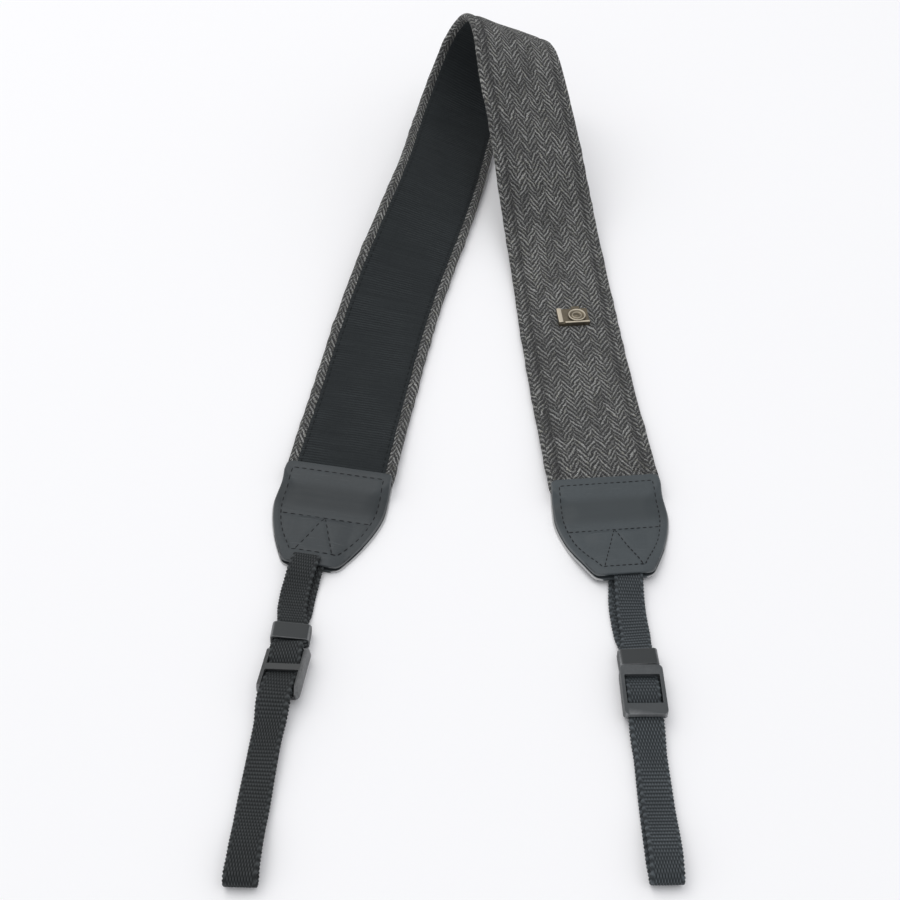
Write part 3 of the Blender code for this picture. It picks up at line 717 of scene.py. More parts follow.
def edges_along(mesh, axis, longer_than=0.0):
    """The edges that run along one axis."""
    spans = [(edge, edge.verts[1].co - edge.verts[0].co) for edge in mesh.edges]
    return [edge for edge, span in spans
            if abs(span[axis]) > 0.98 * span.length and span.length > longer_than]


def round_edges(mesh, edges, offset, segments, clamp=False):
    bmesh.ops.bevel(mesh, geom=edges, offset=offset, segments=segments, profile=0.5, material=-1,
                    affect="EDGES", clamp_overlap=clamp)


def flat_strip(width, start, stop, thickness, rounding, segments, cuts_across, cuts_along):
    """A flat closed strip: across on X, along on Y, through on Z."""
    mesh = box((width, stop - start, thickness), (0, (start + stop) / 2, 0))
    round_edges(mesh, edges_along(mesh, 1), rounding, segments)
    bmesh.ops.subdivide_edges(mesh, edges=edges_along(mesh, 0, width / 2), cuts=cuts_across,
                              use_grid_fill=True)
    bmesh.ops.subdivide_edges(mesh, edges=edges_along(mesh, 1), cuts=cuts_along,
                              use_grid_fill=True)
    return mesh


def note_flat(mesh):
    """Stores each vertex's flat place in millimetres."""
    layer = mesh.verts.layers.float_vector.new("flat")
    for vertex in mesh.verts:
        vertex[layer] = vertex.co / MM


def close_piece(mesh, name, material, node=None, levels=0):
    """Turns a mesh into a piece of the scene that rides on the frame, in the place of a node if
    one is named. What lies on the table is pressed flat there, so nothing sinks into it."""
    for vertex in mesh.verts:
        vertex.co.z = max(vertex.co.z, 0.0)
    bmesh.ops.recalc_face_normals(mesh, faces=mesh.faces)
    data = bpy.data.meshes.new(name)
    mesh.to_mesh(data)
    mesh.free()
    data.shade_smooth()
    data.materials.append(material)
    piece = bpy.data.objects.new(name, data)
    bpy.context.scene.collection.objects.link(piece)
    if levels:
        subdivision = piece.modifiers.new("fine", "SUBSURF")
        subdivision.levels = levels
        subdivision.render_levels = levels
    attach(piece, "root")
    if node:
        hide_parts(node)
    print(name, "has", len(data.polygons) * 4 ** levels, "faces")
    return piece


# %% [markdown]
# The cover is tweed wrapped round thin padding. Its rims are round and a little uneven, a seam runs
# 4.5 mm in from each rim where the cover is sewn through, and the padding between the seams lifts
# the cloth. On the back the hems frame a shallow bed, in which the lining lies.

# %% The padded cover
SEAM_INSET = 4.5 * MM
SEAM_WIDTH = 0.8 * MM
SEAM_DEPTH = 0.5 * MM
CROWN = 0.5 * MM
HEM_SWELL = 0.25 * MM
LINING_BED = 0.45 * MM
RIPPLE = 0.4 * MM
HEM_STEP = 1.2 * MM
FREED_OVER = 12 * MM
COVER_ROUND = 1.35 * MM
COVER_COLUMNS = 38
COVER_ROWS = 250
UNEVEN = 0.75 * MM
FRAY = 0.16 * MM
LINING_WIDTH = BAND_WIDTH - 2 * HEM_WIDTH


def seam_dip(across_by):
    """From 0 to 1: how far the sewn line presses the cover, at a distance from the middle line."""
    away = (abs(across_by) - (BAND_WIDTH / 2 - SEAM_INSET)) / SEAM_WIDTH
    return math.exp(-away * away)


def freed_share(along_by):
    """0 at the leathers' mouths and 1 where the padding swells freely, some way past them."""
    return ease(min(along_by, BAND_LENGTH - along_by) / FREED_OVER)


def shape_cover(across_by, along_by, through):
    """The flat cover with its seams, its padding and its uneven rims."""
    share = abs(across_by) / (BAND_WIDTH / 2)
    freed = freed_share(along_by)
    if through > 0:
        hem = ease((abs(across_by) - LINING_WIDTH / 2) / HEM_STEP)
        swell = HEM_SWELL * hem * (1 - share ** 6) * freed - LINING_BED * (1 - hem)
    else:
        ripple = noise.noise(Vector((across_by / MM * 0.12, along_by / MM * 0.07, 1)))
        swell = freed * (CROWN * (1 - share ** 4) + ripple * RIPPLE) - SEAM_DEPTH * seam_dip(across_by)
    swell *= min(abs(through) / (0.3 * BAND_THICKNESS), 1)
    through += math.copysign(1, through) * swell
    rim_side = math.copysign(7.0, across_by)
    rim = noise.noise(Vector((along_by / MM * 0.11, rim_side, 0)))
    fray = noise.noise(Vector((along_by / MM * 0.55, rim_side, 5 + through / MM)))
    across_by += math.copysign((UNEVEN * rim + FRAY * fray) * share ** 3, across_by)
    return across_by, along_by, through


cover = flat_strip(BAND_WIDTH, -PAD_DEPTH, BAND_LENGTH + PAD_DEPTH, BAND_THICKNESS,
                   COVER_ROUND, 4, COVER_COLUMNS, COVER_ROWS)
note_flat(cover)
# The tweed face keeps how deep each seam dips, and the tweed is painted darker there as shade in the
# groove.
painted_seam_shade = cover.verts.layers.float.new("painted_seam_shade")
for vertex in cover.verts:
    if vertex.co.z < 0:
        vertex[painted_seam_shade] = seam_dip(vertex.co.x)
    vertex.co = band_place(*shape_cover(*vertex.co))
padded_cover = close_piece(cover, "padded_cover", tweed, "band_cover", 1)

# %% [markdown]
# The lining is a black ribbed strip, sewn down between the hems. It is a separate thin strip that
# stands a hair out of its bed, and its ribs are relief in the material.

# %% The lining
LINING_THICKNESS = 0.8 * MM
LINING_PROUD = 0.12 * MM
LINING_ROUND = 0.3 * MM
LINING_COLUMNS = 14
LINING_TUCK = 0.3 * MM
LINING_TUCK_WIDTH = 1.5 * MM
LINING_RIPPLE = 0.3 * MM
LINING_RAGGED = 0.3 * MM


def shape_lining(across_by, along_by, through):
    """The flat lining, raised to its place on the band, with soft ripples and an uneven edge."""
    ripple = noise.noise(Vector((across_by / MM * 0.10, along_by / MM * 0.05, 3)))
    tucked = ease((abs(across_by) - LINING_WIDTH / 2) / LINING_TUCK_WIDTH + 1) * LINING_TUCK
    through += BAND_THICKNESS / 2 + LINING_PROUD - LINING_THICKNESS / 2 - tucked
    through += ripple * LINING_RIPPLE * freed_share(along_by)
    edge = noise.noise(Vector((along_by / MM * 0.2, math.copysign(4, across_by), 9)))
    across_by += edge * LINING_RAGGED * abs(across_by) / LINING_WIDTH * 2
    return across_by, along_by, through


lining = flat_strip(LINING_WIDTH, -PAD_DEPTH, BAND_LENGTH + PAD_DEPTH, LINING_THICKNESS,
                    LINING_ROUND, 3, LINING_COLUMNS, COVER_ROWS)
note_flat(lining)
for vertex in lining.verts:
    vertex.co = band_place(*shape_lining(*vertex.co))
ribbed_lining = close_piece(lining, "ribbed_lining", lining_cloth, "band_lining", 1)

# %% [markdown]
# A stitch is a short grain of thread. All the stitches of a seam are one piece, so that a seam is a
# single thing to hide or repaint. Each stitch is a small sphere stretched along the seam, with few
# faces because there are hundreds of them.

# %% Stitches
BAND_STITCH = (3.4 * MM, 2.3 * MM, 0.40 * MM)
LINING_STITCH_INSET = HEM_WIDTH + 1.4 * MM


def add_stitch(mesh, place, start, stop, width):
    """One stitch on a flat piece from start to stop, laid down by the piece's own place function."""
    start, stop = Vector(start), Vector(stop)
    middle = (start + stop) / 2
    ahead = (stop - start).normalized()
    beside = Vector((-ahead.y, ahead.x, 0))
    made = bmesh.ops.create_uvsphere(mesh, u_segments=6, v_segments=4, radius=0.5)
    for vertex in made["verts"]:
        local = vertex.co.copy()
        spot = middle + ahead * local.z * (stop - start).length + beside * local.x * width
        vertex.co = place(spot.x, spot.y, spot.z + local.y * width)


def stitch_along(mesh, place, route, step, length, width):
    """Stitches at even steps along a route of flat points."""
    points = [Vector(point) for point in route]
    spans = [(b - a).length for a, b in zip(points, points[1:])]
    count = max(round(sum(spans) / step), 1)
    step = sum(spans) / count

    def at(distance):
        for start, stop, span in zip(points, points[1:], spans):
            if distance <= span or stop is points[-1]:
                return start + (stop - start) * min(distance / span, 1.0)
            distance -= span

    for i in range(count):
        middle = (i + 0.5) * step
        add_stitch(mesh, place, at(middle - length / 2), at(middle + length / 2), width)
    return count


def stitch_band(name, inset, through, shape, thread):
    """Two rows of stitches along the band, at an inset from its rims."""
    mesh = bmesh.new()
    count = 0
    for sign in (-1, 1):
        aside = sign * (BAND_WIDTH / 2 - inset)
        line = [(aside, BAND_LENGTH * i / 100, shape(aside, BAND_LENGTH * i / 100, through)[2])
                for i in range(101)]
        count += stitch_along(mesh, band_place, line, *BAND_STITCH)
    print(name, "has", count, "stitches")
    close_piece(mesh, name, thread)


stitch_band("seam_stitching", SEAM_INSET, -BAND_THICKNESS / 2, shape_cover,
            threads["seam"])
stitch_band("lining_stitching", LINING_STITCH_INSET, LINING_THICKNESS / 2, shape_lining,
            threads["lining"])

# %% [markdown]
# Each end of the band is held between two leathers. The lower one lies flat and the upper one drapes
# over the band's end and the webbing's root. Both are cut to one outline: straight at the band, a
# slight bulge, and round shoulders down to a short straight tip. The upper leather comes down from
# the padding in one long soft slope, because the padding under it is pressed thin.

# %% The leather outline and its drape
TAB_TOP_WIDTH = 39 * MM
TAB_BULGE_WIDTH = 40 * MM
TAB_TIP_WIDTH = 18.6 * MM
TAB_CORNER = 2.0 * MM
SHOULDER_POWER = 1.65
WIDEST_AT = 0.36
SLOPE_LENGTH = 8 * MM
SIDES_MEET = 22 * MM
SIDE_FOLD = 2.5 * MM
ROOT_FOLD = 8 * MM
TAB_BEND_FROM = 0.6
WEBBING_WIDTH = 10 * MM
WEBBING_THICKNESS = 1.1 * MM
ROOT_LENGTH = 19 * MM
ROOT_PRESSED = 0.5
TAIL_OVERLAP = 5 * MM


def tab_half_width(along):
    share = along / TAB_LENGTH
    top, bulge, tip = TAB_TOP_WIDTH / 2, TAB_BULGE_WIDTH / 2, TAB_TIP_WIDTH / 2
    if share < WIDEST_AT:
        width = top + (bulge - top) * math.sin(share / WIDEST_AT * math.pi / 2)
    else:
        fall = (share - WIDEST_AT) / (1 - WIDEST_AT)
        width = bulge - (bulge - tip) * fall ** SHOULDER_POWER
    nearest = min(along, TAB_LENGTH - along)
    if nearest < TAB_CORNER:
        cut = TAB_CORNER - nearest
        width -= TAB_CORNER - math.sqrt(max(TAB_CORNER ** 2 - cut ** 2, 0.0))
    return width


def root_pressed(along):
    """The share of its thickness that the webbing's root keeps between the leathers."""
    return ROOT_PRESSED + (1 - ROOT_PRESSED) * ease((along - TAB_LENGTH * 0.72) / (TAB_LENGTH * 0.2))


def tab_content(along, aside):
    """How far apart the two leathers lie: the band's end between them at first, then the
    webbing's root, and at the sides and the tip next to nothing."""
    pressed = pressed_share(along)
    padding = BAND_THICKNESS * (1 - (1 - PAD_PRESSED) * pressed) + 2 * CLEARANCE
    inner = TAB_TOP_WIDTH / 2 - END_NARROWED * pressed
    fold = max(tab_half_width(along) - inner, MM) + SIDE_FOLD * (1 - ease(along / SIDES_MEET))
    over_band = 1 - ease((along - PAD_DEPTH - CLEARANCE) / SLOPE_LENGTH)
    over_band *= 1 - ease((abs(aside) - inner - CLEARANCE) / fold)
    over_root = ease((along - TAB_LENGTH + ROOT_LENGTH + SLOPE_LENGTH * 0.5) / (SLOPE_LENGTH * 0.5))
    over_root *= 1 - ease((abs(aside) - WEBBING_WIDTH / 2 - CLEARANCE) / ROOT_FOLD)
    root = (WEBBING_THICKNESS * root_pressed(along) + 2 * CLEARANCE) * over_root
    return max(padding * over_band, root, CLEARANCE)


def tab_bend(side, along):
    """The right tab's tip is lifted by the webbing's tail, which lies under it."""
    if side == "left":
        return 0.0
    start = TAB_LENGTH * TAB_BEND_FROM
    stop = TAB_LENGTH - TAIL_OVERLAP - CLEARANCE
    return (WEBBING_THICKNESS + 2 * CLEARANCE) * ease((along - start) / (stop - start))


def tab_place(side, upper):
    """A function from the flat leather, outer face at through = 0, to where it lies."""
    origin, out, across = end_frame(side)

    def place(aside, along, through):
        height = tab_bend(side, along) + LEATHER
        if upper:
            height += tab_content(along, aside) + LEATHER
        return origin + out * along + across * aside + Vector((0, 0, height + through))

    return place


print("tab half widths:", [round(tab_half_width(TAB_LENGTH * i / 4) / MM, 1) for i in range(5)])

# %% [markdown]
# A stitched line round the leather holds both layers. A line across marks the band's end, and two
# lines spread from its middle to the tip and lock the webbing. The thread pulls the leather down,
# so the lines are dips in the mesh with stitches lying in them.

# %% The stitched lines of a leather end
STITCH_INSET = 2.9 * MM
TIP_INSET = 1.2 * MM
TOP_LINE = 3.2 * MM
MIDDLE_LINE = 22.2 * MM
BOTTOM_LINES = {"left": 38.6 * MM, "right": 40.6 * MM}
FEET_ASIDE = 6.6 * MM
LINE_STEPS = 24
TAB_STITCHES = {
    "left": (2.9 * MM, 1.9 * MM, 0.38 * MM),
    "right": (2.2 * MM, 1.5 * MM, 0.38 * MM),
}
STITCH_DIP = 0.24 * MM
STITCH_SPREAD = 0.6 * MM


def inset_half(along):
    """Half the distance between the side lines, which close in towards the tip."""
    closing = ease((along / TAB_LENGTH - 0.6) / 0.28)
    return tab_half_width(along) - STITCH_INSET - TIP_INSET * closing


@functools.lru_cache(maxsize=None)
def tab_lines(side):
    """Flat routes of the stitched lines, as points of (aside, along, through)."""
    bottom = BOTTOM_LINES[side]
    down = [TOP_LINE + (bottom - TOP_LINE) * i / LINE_STEPS for i in range(LINE_STEPS + 1)]
    around = [(inset_half(along), along, 0) for along in down]
    level = {"top": TOP_LINE, "middle": MIDDLE_LINE, "bottom": bottom}
    lines = {name: [(-inset_half(at), at, 0), (inset_half(at), at, 0)] for name, at in level.items()}
    lines["left_side"] = [(-aside, along, 0) for aside, along, _ in around]
    lines["right_side"] = around
    lines["left_foot"] = [(0, MIDDLE_LINE, 0), (-FEET_ASIDE, bottom, 0)]
    lines["right_foot"] = [(0, MIDDLE_LINE, 0), (FEET_ASIDE, bottom, 0)]
    return lines


def distance_to(route, aside, along):
    """From a flat place to a flat route."""
    nearest = 1.0
    spot = Vector((aside, along))
    for start, stop in zip(route, route[1:]):
        first, last = Vector(start[:2]), Vector(stop[:2])
        span = last - first
        share = min(max((spot - first).dot(span) / span.length_squared, 0), 1)
        nearest = min(nearest, (spot - first - span * share).length)
    return nearest


def stitch_dip(side, aside, along):
    nearest = min(distance_to(route, aside, along) for route in tab_lines(side).values())
    return STITCH_DIP * math.exp(-(nearest / STITCH_SPREAD) ** 2)


print("stitched lines:", list(tab_lines("left")))

# %% The leathers
TAB_COLUMNS = 72
TAB_ROWS = 80
RIM_ROUND = 0.32 * MM
LOWER_PROUD = 0.5 * MM
PALE_RIM = 0.35 * MM
UPPER_RIM_SHOWN = 0.12
ROLL = 0.12 * MM
ROLL_WIDTH = 1.2 * MM
SURFACE_WAVE = 0.12 * MM


def leather_half_width(along, upper):
    """The lower leather stands out a little round the upper one, as the two never match."""
    proud = 0.0 if upper else LOWER_PROUD
    return tab_half_width(along) + proud * ease(along / (TAB_LENGTH * 0.4))


def make_leather_piece(side, upper, layer):
    """One leather: a flat grid trimmed to the outline, thickened, its rim rounded, then laid."""
    mesh = bmesh.new()
    bmesh.ops.create_grid(mesh, x_segments=TAB_COLUMNS, y_segments=TAB_ROWS, size=0.5)
    for vertex in mesh.verts:
        along = (vertex.co.y + 0.5) * TAB_LENGTH
        vertex.co = (vertex.co.x * 2 * leather_half_width(along, upper), along, 0)
    bmesh.ops.solidify(mesh, geom=mesh.faces[:] + mesh.edges[:] + mesh.verts[:], thickness=LEATHER)
    top = max(vertex.co.z for vertex in mesh.verts)
    bmesh.ops.translate(mesh, vec=(0, 0, -top), verts=mesh.verts)
    corners = [edge for edge in mesh.edges if edge.is_manifold and edge.calc_face_angle() > 1.2]
    round_edges(mesh, corners, RIM_ROUND, 2)
    note_flat(mesh)
    rim = mesh.verts.layers.float.new("rim")
    place = tab_place(side, upper)
    for vertex in mesh.verts:
        aside, along, through = vertex.co
        to_rim = leather_half_width(along, upper) - abs(aside)
        if -through < 0.95 * LEATHER and to_rim < PALE_RIM:
            vertex[rim] = UPPER_RIM_SHOWN if upper else 1.0
        nearest = min(to_rim, along + 0.2 * MM, TAB_LENGTH - along)
        roll = ease(1 - nearest / ROLL_WIDTH) * ROLL
        wave = noise.noise(Vector((aside / MM * 0.09, along / MM * 0.09, 11))) * SURFACE_WAVE
        if upper and through > -0.5 * LEATHER:
            through -= stitch_dip(side, aside, along) + roll - wave
        vertex.co = place(aside, along, through)
    close_piece(mesh, f"{side}_{layer}_leather", leathers[side], f"{side}_tab_{layer}")


def make_tab_stitching(side):
    name = f"{side}_leather_stitching"
    mesh = bmesh.new()
    place = tab_place(side, True)

    def lay(aside, along, through):
        return place(aside, along, through - STITCH_DIP * 0.75)

    lines = tab_lines(side).values()
    count = sum(stitch_along(mesh, lay, route, *TAB_STITCHES[side]) for route in lines)
    print(name, "has", count, "stitches")
    close_piece(mesh, name, threads["leather"])


for side, lower, upper in (("left", "front", "back"), ("right", "back", "front")):
    make_leather_piece(side, False, lower)
    make_leather_piece(side, True, upper)
    make_tab_stitching(side)

# %% [markdown]
# Each webbing is one strap: sewn in between the leathers, out through the keeper and the slider,
# round a camera's lug, and back through both to its free tail. The two layers lie on each other. A
# table of stations gives the pair's height and spread, worked out from what it passes.

# %% The webbing's sizes and route
LAYER_GAP = 0.35 * MM
LAYER_FAN = 1.1 * MM
LUG_GAP = 3.4 * MM
LUG_THROAT = 5 * MM
LUG_RAMP = 18 * MM
WEBBING_STEP = 1.5 * MM
SLOPE_STEP = 0.5 * MM
LOOP_STEPS = 10
KEEPER_LENGTH = 6.2 * MM
KEEPER_WIDTH = 12.8 * MM
KEEPER_WALL = 1.0 * MM
SLIDER_WIDTH = 13.6 * MM
SLIDER_LENGTH = 18.5 * MM
SLIDER_RAIL = 1.2 * MM
SLIDER_PLATE = 1.5 * MM
SLIDER_TOP_BAR = 3.6 * MM
SLIDER_LOW_BAR = 4.2 * MM
SLIDER_MIDDLE_BAR = 2.3 * MM
SLIDER_BAR_THICKNESS = 1.1 * MM
PAIR = WEBBING_THICKNESS + LAYER_GAP / 2
SLIDER_DEPTH = CLEARANCE / 2 + 2 * PAIR + CLEARANCE + SLIDER_PLATE
SLIDER_PERCH = KEEPER_WALL + CLEARANCE / 2
SIDES = {
    "left": {
        "reach": 115.8 * MM, "keeper": 29.5 * MM, "gap": 2.65 * MM, "loop_fan": -0.3,
        "tail": 2.6 * MM, "keeper_roll": math.radians(-4), "keeper_skew": math.radians(5),
        "slider_roll": math.radians(9), "slider_skew": math.radians(0.5),
        "drift": ((0.00, -0.06), (0.10, -0.06), (0.17, 0.03), (0.25, 0.17), (0.32, 0.35),
                  (0.38, 0.44), (0.46, 0.44), (0.53, 0.46), (0.65, 0.58), (0.85, 0.85),
                  (1.00, 1.12)),
    },
    "right": {
        "reach": 109.4 * MM, "keeper": 33.6 * MM, "gap": 0.45 * MM, "loop_fan": 0.3,
        "tail": 5 * MM, "keeper_roll": 0.0, "keeper_skew": 0.0, "slider_roll": 0.0, "slider_skew": 0.0,
        "drift": ((0.00, 0.02), (0.12, -0.15), (0.28, -0.18), (0.40, -0.25), (0.54, -0.37),
                  (0.80, -0.59), (1.00, -0.75)),
    },
}
for facts in SIDES.values():
    facts["slider"] = facts["keeper"] + (KEEPER_LENGTH + SLIDER_LENGTH) / 2 + facts["gap"]
    facts["aside"] = spline(facts["drift"], 1)


def steps(rows, place):
    """Values eased from row to row, with no overshoot."""
    if place <= rows[0][0]:
        return rows[0][1:]
    for low, high in zip(rows, rows[1:]):
        if place <= high[0]:
            share = ease((place - low[0]) / (high[0] - low[0]))
            return tuple(a + (b - a) * share for a, b in zip(low[1:], high[1:]))
    return rows[-1][1:]


def webbing_path(side):
    """Rows of (along, middle height, half spread, half sideways shift) out to the loop's end."""
    facts = SIDES[side]
    close = (WEBBING_THICKNESS + LAYER_GAP) / 2
    wide = (LEATHER + WEBBING_THICKNESS) / 2 + CLEARANCE
    inside = LEATHER + CLEARANCE + WEBBING_THICKNESS / 2
    open_half = (LUG_GAP + WEBBING_THICKNESS) / 2
    level = CLEARANCE / 2 + PAIR
    over_middle = SLIDER_BAR_THICKNESS + CLEARANCE + PAIR
    in_keeper = KEEPER_WALL + CLEARANCE + PAIR
    if side == "left":
        rooted = at_tip = inside + wide
        bars = SLIDER_PERCH + SLIDER_DEPTH - level
        middle = SLIDER_PERCH + SLIDER_DEPTH - over_middle
    else:
        rooted = inside - wide
        at_tip = rooted + WEBBING_THICKNESS + 2 * CLEARANCE
        bars, middle = SLIDER_PERCH + level, SLIDER_PERCH + over_middle
    tab = TAB_LENGTH
    keeper, slider = tab + facts["keeper"], tab + facts["slider"]
    top, low = slider - SLIDER_LENGTH / 2, slider + SLIDER_LENGTH / 2
    bar_edge = SLIDER_MIDDLE_BAR / 2 + CLEARANCE / 2
    bar_at = slider + (SLIDER_TOP_BAR - SLIDER_LOW_BAR) / 2
    loop_end = tab + facts["reach"] - open_half - WEBBING_THICKNESS / 2
    in_loop = level - close + open_half
    loop_fan = LAYER_FAN * facts["loop_fan"]
    return [
        (tab - ROOT_LENGTH, rooted, wide, 0.0),
        (tab * TAB_BEND_FROM, rooted, wide, 0.0),
        (tab - TAIL_OVERLAP - CLEARANCE, at_tip, wide, LAYER_FAN * 0.2),
        (tab + LEATHER, at_tip, wide, LAYER_FAN * 0.8),
        (tab + WEBBING_WIDTH, level, close, LAYER_FAN),
        (keeper - KEEPER_LENGTH / 2 - WEBBING_WIDTH * 0.8, level, close, LAYER_FAN * 0.9),
        (keeper - KEEPER_LENGTH / 2 - CLEARANCE, in_keeper, close, 0.0),
        (keeper + KEEPER_LENGTH / 2 + CLEARANCE / 2, in_keeper, close, 0.0),
        (top - CLEARANCE / 2, bars, close, 0.0),
        (top + SLIDER_TOP_BAR + CLEARANCE / 2, bars, close, 0.0),
        (bar_at - bar_edge, middle, close, 0.0),
        (bar_at + bar_edge, middle, close, 0.0),
        (low - SLIDER_LOW_BAR - CLEARANCE / 2, bars, close, 0.0),
        (low + CLEARANCE / 2, bars, close, 0.0),
        (low + WEBBING_WIDTH, level, close, loop_fan * 0.4),
        (loop_end - LUG_THROAT - LUG_RAMP, level, close, loop_fan),
        (loop_end - LUG_THROAT, in_loop, open_half, loop_fan * 0.8),
        (loop_end, in_loop, open_half, 0.0),
    ]


@functools.lru_cache(maxsize=None)
def webbing_space(side):
    """Two functions beside a leg: (along, aside, height) to a place, and the axes there."""
    origin, out, across = end_frame(side)
    facts = SIDES[side]
    keeper, slider = TAB_LENGTH + facts["keeper"], TAB_LENGTH + facts["slider"]
    rolls = [(along, roll, abs(math.sin(roll)) * SLIDER_WIDTH / 2) for along, roll in (
        (TAB_LENGTH + facts["keeper"] * 0.15, 0.0),
        (keeper - KEEPER_LENGTH, facts["keeper_roll"]),
        (keeper + KEEPER_LENGTH / 2, facts["keeper_roll"]),
        (slider - SLIDER_LENGTH / 2, facts["slider_roll"]),
        (slider + SLIDER_LENGTH * 0.55, facts["slider_roll"]),
        (TAB_LENGTH + facts["reach"] * 0.86, 0.0),
    )]

    @functools.lru_cache(maxsize=None)
    def strayed(along):
        return facts["aside"](max(along - TAB_LENGTH, 0.0) / facts["reach"]) * WEBBING_WIDTH

    @functools.lru_cache(maxsize=None)
    def axes(along):
        slope = (strayed(along + SLOPE_STEP) - strayed(along - SLOPE_STEP)) / (2 * SLOPE_STEP)
        ahead = (out + across * slope).normalized()
        level = Vector((-ahead.y, ahead.x, 0))
        tilt, lift = steps(rolls, along)
        centre = origin + out * along + across * strayed(along) + Vector((0, 0, lift))
        rolled = level * math.cos(tilt) + Vector((0, 0, math.sin(tilt)))
        return centre, ahead, rolled, ahead.cross(rolled)

    def place(along, aside, height):
        centre, _, rolled, above = axes(round(along, 5))
        return centre + rolled * aside + above * height

    return place, axes


def webbing_line(side):
    """The strip's middle line as (along, height, slope, aside) from root to tail."""
    rows = webbing_path(side)
    outward = 1 if side == "left" else -1
    start, stop = rows[0][0], rows[-1][0]
    count = int((stop - start) / WEBBING_STEP)
    open_half = rows[-1][2]
    fine = SLOPE_STEP / 10

    def layer(along, sign):
        height, spread, fan = steps(rows, along)
        rise = steps(rows, along + fine)[0] - steps(rows, along - fine)[0]
        slope = math.atan2(rise, 2 * fine)
        return (along - math.sin(slope) * spread * sign,
                height + math.cos(slope) * spread * sign, slope, -fan * sign * outward)

    places = [start + (stop - start) * i / count for i in range(count + 1)]
    line = [layer(along, -outward) for along in places]
    middle = rows[-1][1]
    for i in range(1, LOOP_STEPS):
        angle = math.pi * i / LOOP_STEPS
        line.append((stop + open_half * math.sin(angle),
                     middle - outward * open_half * math.cos(angle), outward * angle, 0.0))
    tail_end = TAB_LENGTH - SIDES[side]["tail"]
    back = [along for along in reversed(places) if along > tail_end + WEBBING_STEP / 2]
    for along in back + [tail_end]:
        along, height, slope, aside = layer(along, outward)
        line.append((along, height, slope + outward * math.pi, aside))
    return line


print("stations on the left webbing:", len(webbing_line("left")))

# %% [markdown]
# Woven webbing is a lattice of beads: each rib is a turn of the weft, and the warp yarns cross it
# as beads that shift by half a bead from rib to rib. At both rims the weft turns back every second
# rib, which makes a coarser selvedge and a scalloped outline. All of it is in the mesh, because it
# shows in the outline, and the height of each bead is kept as an attribute for the colour.

# %% The weave of the webbing
WEBBING_ROUND = 0.4 * MM
RIB = 1.22 * MM
RIB_ROWS = 4
BEAD = 0.92 * MM
BEAD_COLUMNS = 37
SELVEDGE = 3.8 * MM
SELVEDGE_BLEND = 0.7 * MM
WEAVE_HEIGHT = 0.30 * MM
RIM_WAVE = 0.46 * MM
WEBBING_SHRUNK = 0.90
SPREAD_IN_SLIDER = 0.11
OPENED = {
    "left": ((0.0, 0.6), (0.10, 0.5), (0.20, 0.4), (0.35, 1.0), (0.50, 0.2), (0.56, 0.9),
             (0.66, 0.1), (0.78, 0.3), (0.86, 0.6), (1.0, 1.0)),
    "right": ((0.0, 0.7), (0.12, 0.2), (0.28, 0.0), (0.40, 0.4), (0.46, 1.0), (0.62, 0.8),
              (0.70, 0.1), (0.88, 0.0), (0.97, 0.9), (1.0, 1.0)),
}


def weave_relief(aside, distance, opened):
    """Height of the weave from 0 to 1. Where the strap is pulled straight, opened is small and
    the beads close up into plain ribs."""
    turn = math.pi * distance / RIB
    bead = 0.5 + 0.5 * math.cos(2 * math.pi * aside / BEAD) * math.cos(turn)
    rib = abs(math.sin(turn + math.pi / 4))
    inner = rib * 0.6 * (1 - opened) + bead * (0.35 + 0.65 * opened)
    loops = 0.5 + 0.5 * math.cos(turn + math.copysign(math.pi / 2, aside))
    edge = ease((abs(aside) - SELVEDGE) / SELVEDGE_BLEND)
    return min(inner, 1.0) * (1 - edge) + (0.4 + loops * 0.45) * edge


def opened_share(side, along):
    """1 where the webbing is loose and its beads stand open, 0 where it is pulled straight."""
    return steps(OPENED[side], (along - TAB_LENGTH) / SIDES[side]["reach"])[0]


print("beads across the webbing:", int(2 * SELVEDGE / BEAD))


# %% The webbings
def resample(line):
    """The line's length, and a function from a distance along it to its values there."""
    reached = [0.0]
    for before, after in zip(line, line[1:]):
        reached.append(reached[-1] + math.hypot(after[0] - before[0], after[1] - before[1]))

    def at(distance):
        low, high = 0, len(line) - 1
        while high - low > 1:
            middle = (low + high) // 2
            if reached[middle] <= distance:
                low = middle
            else:
                high = middle
        share = (distance - reached[low]) / (reached[high] - reached[low])
        return tuple(a + (b - a) * share for a, b in zip(line[low], line[high]))

    return reached[-1], at


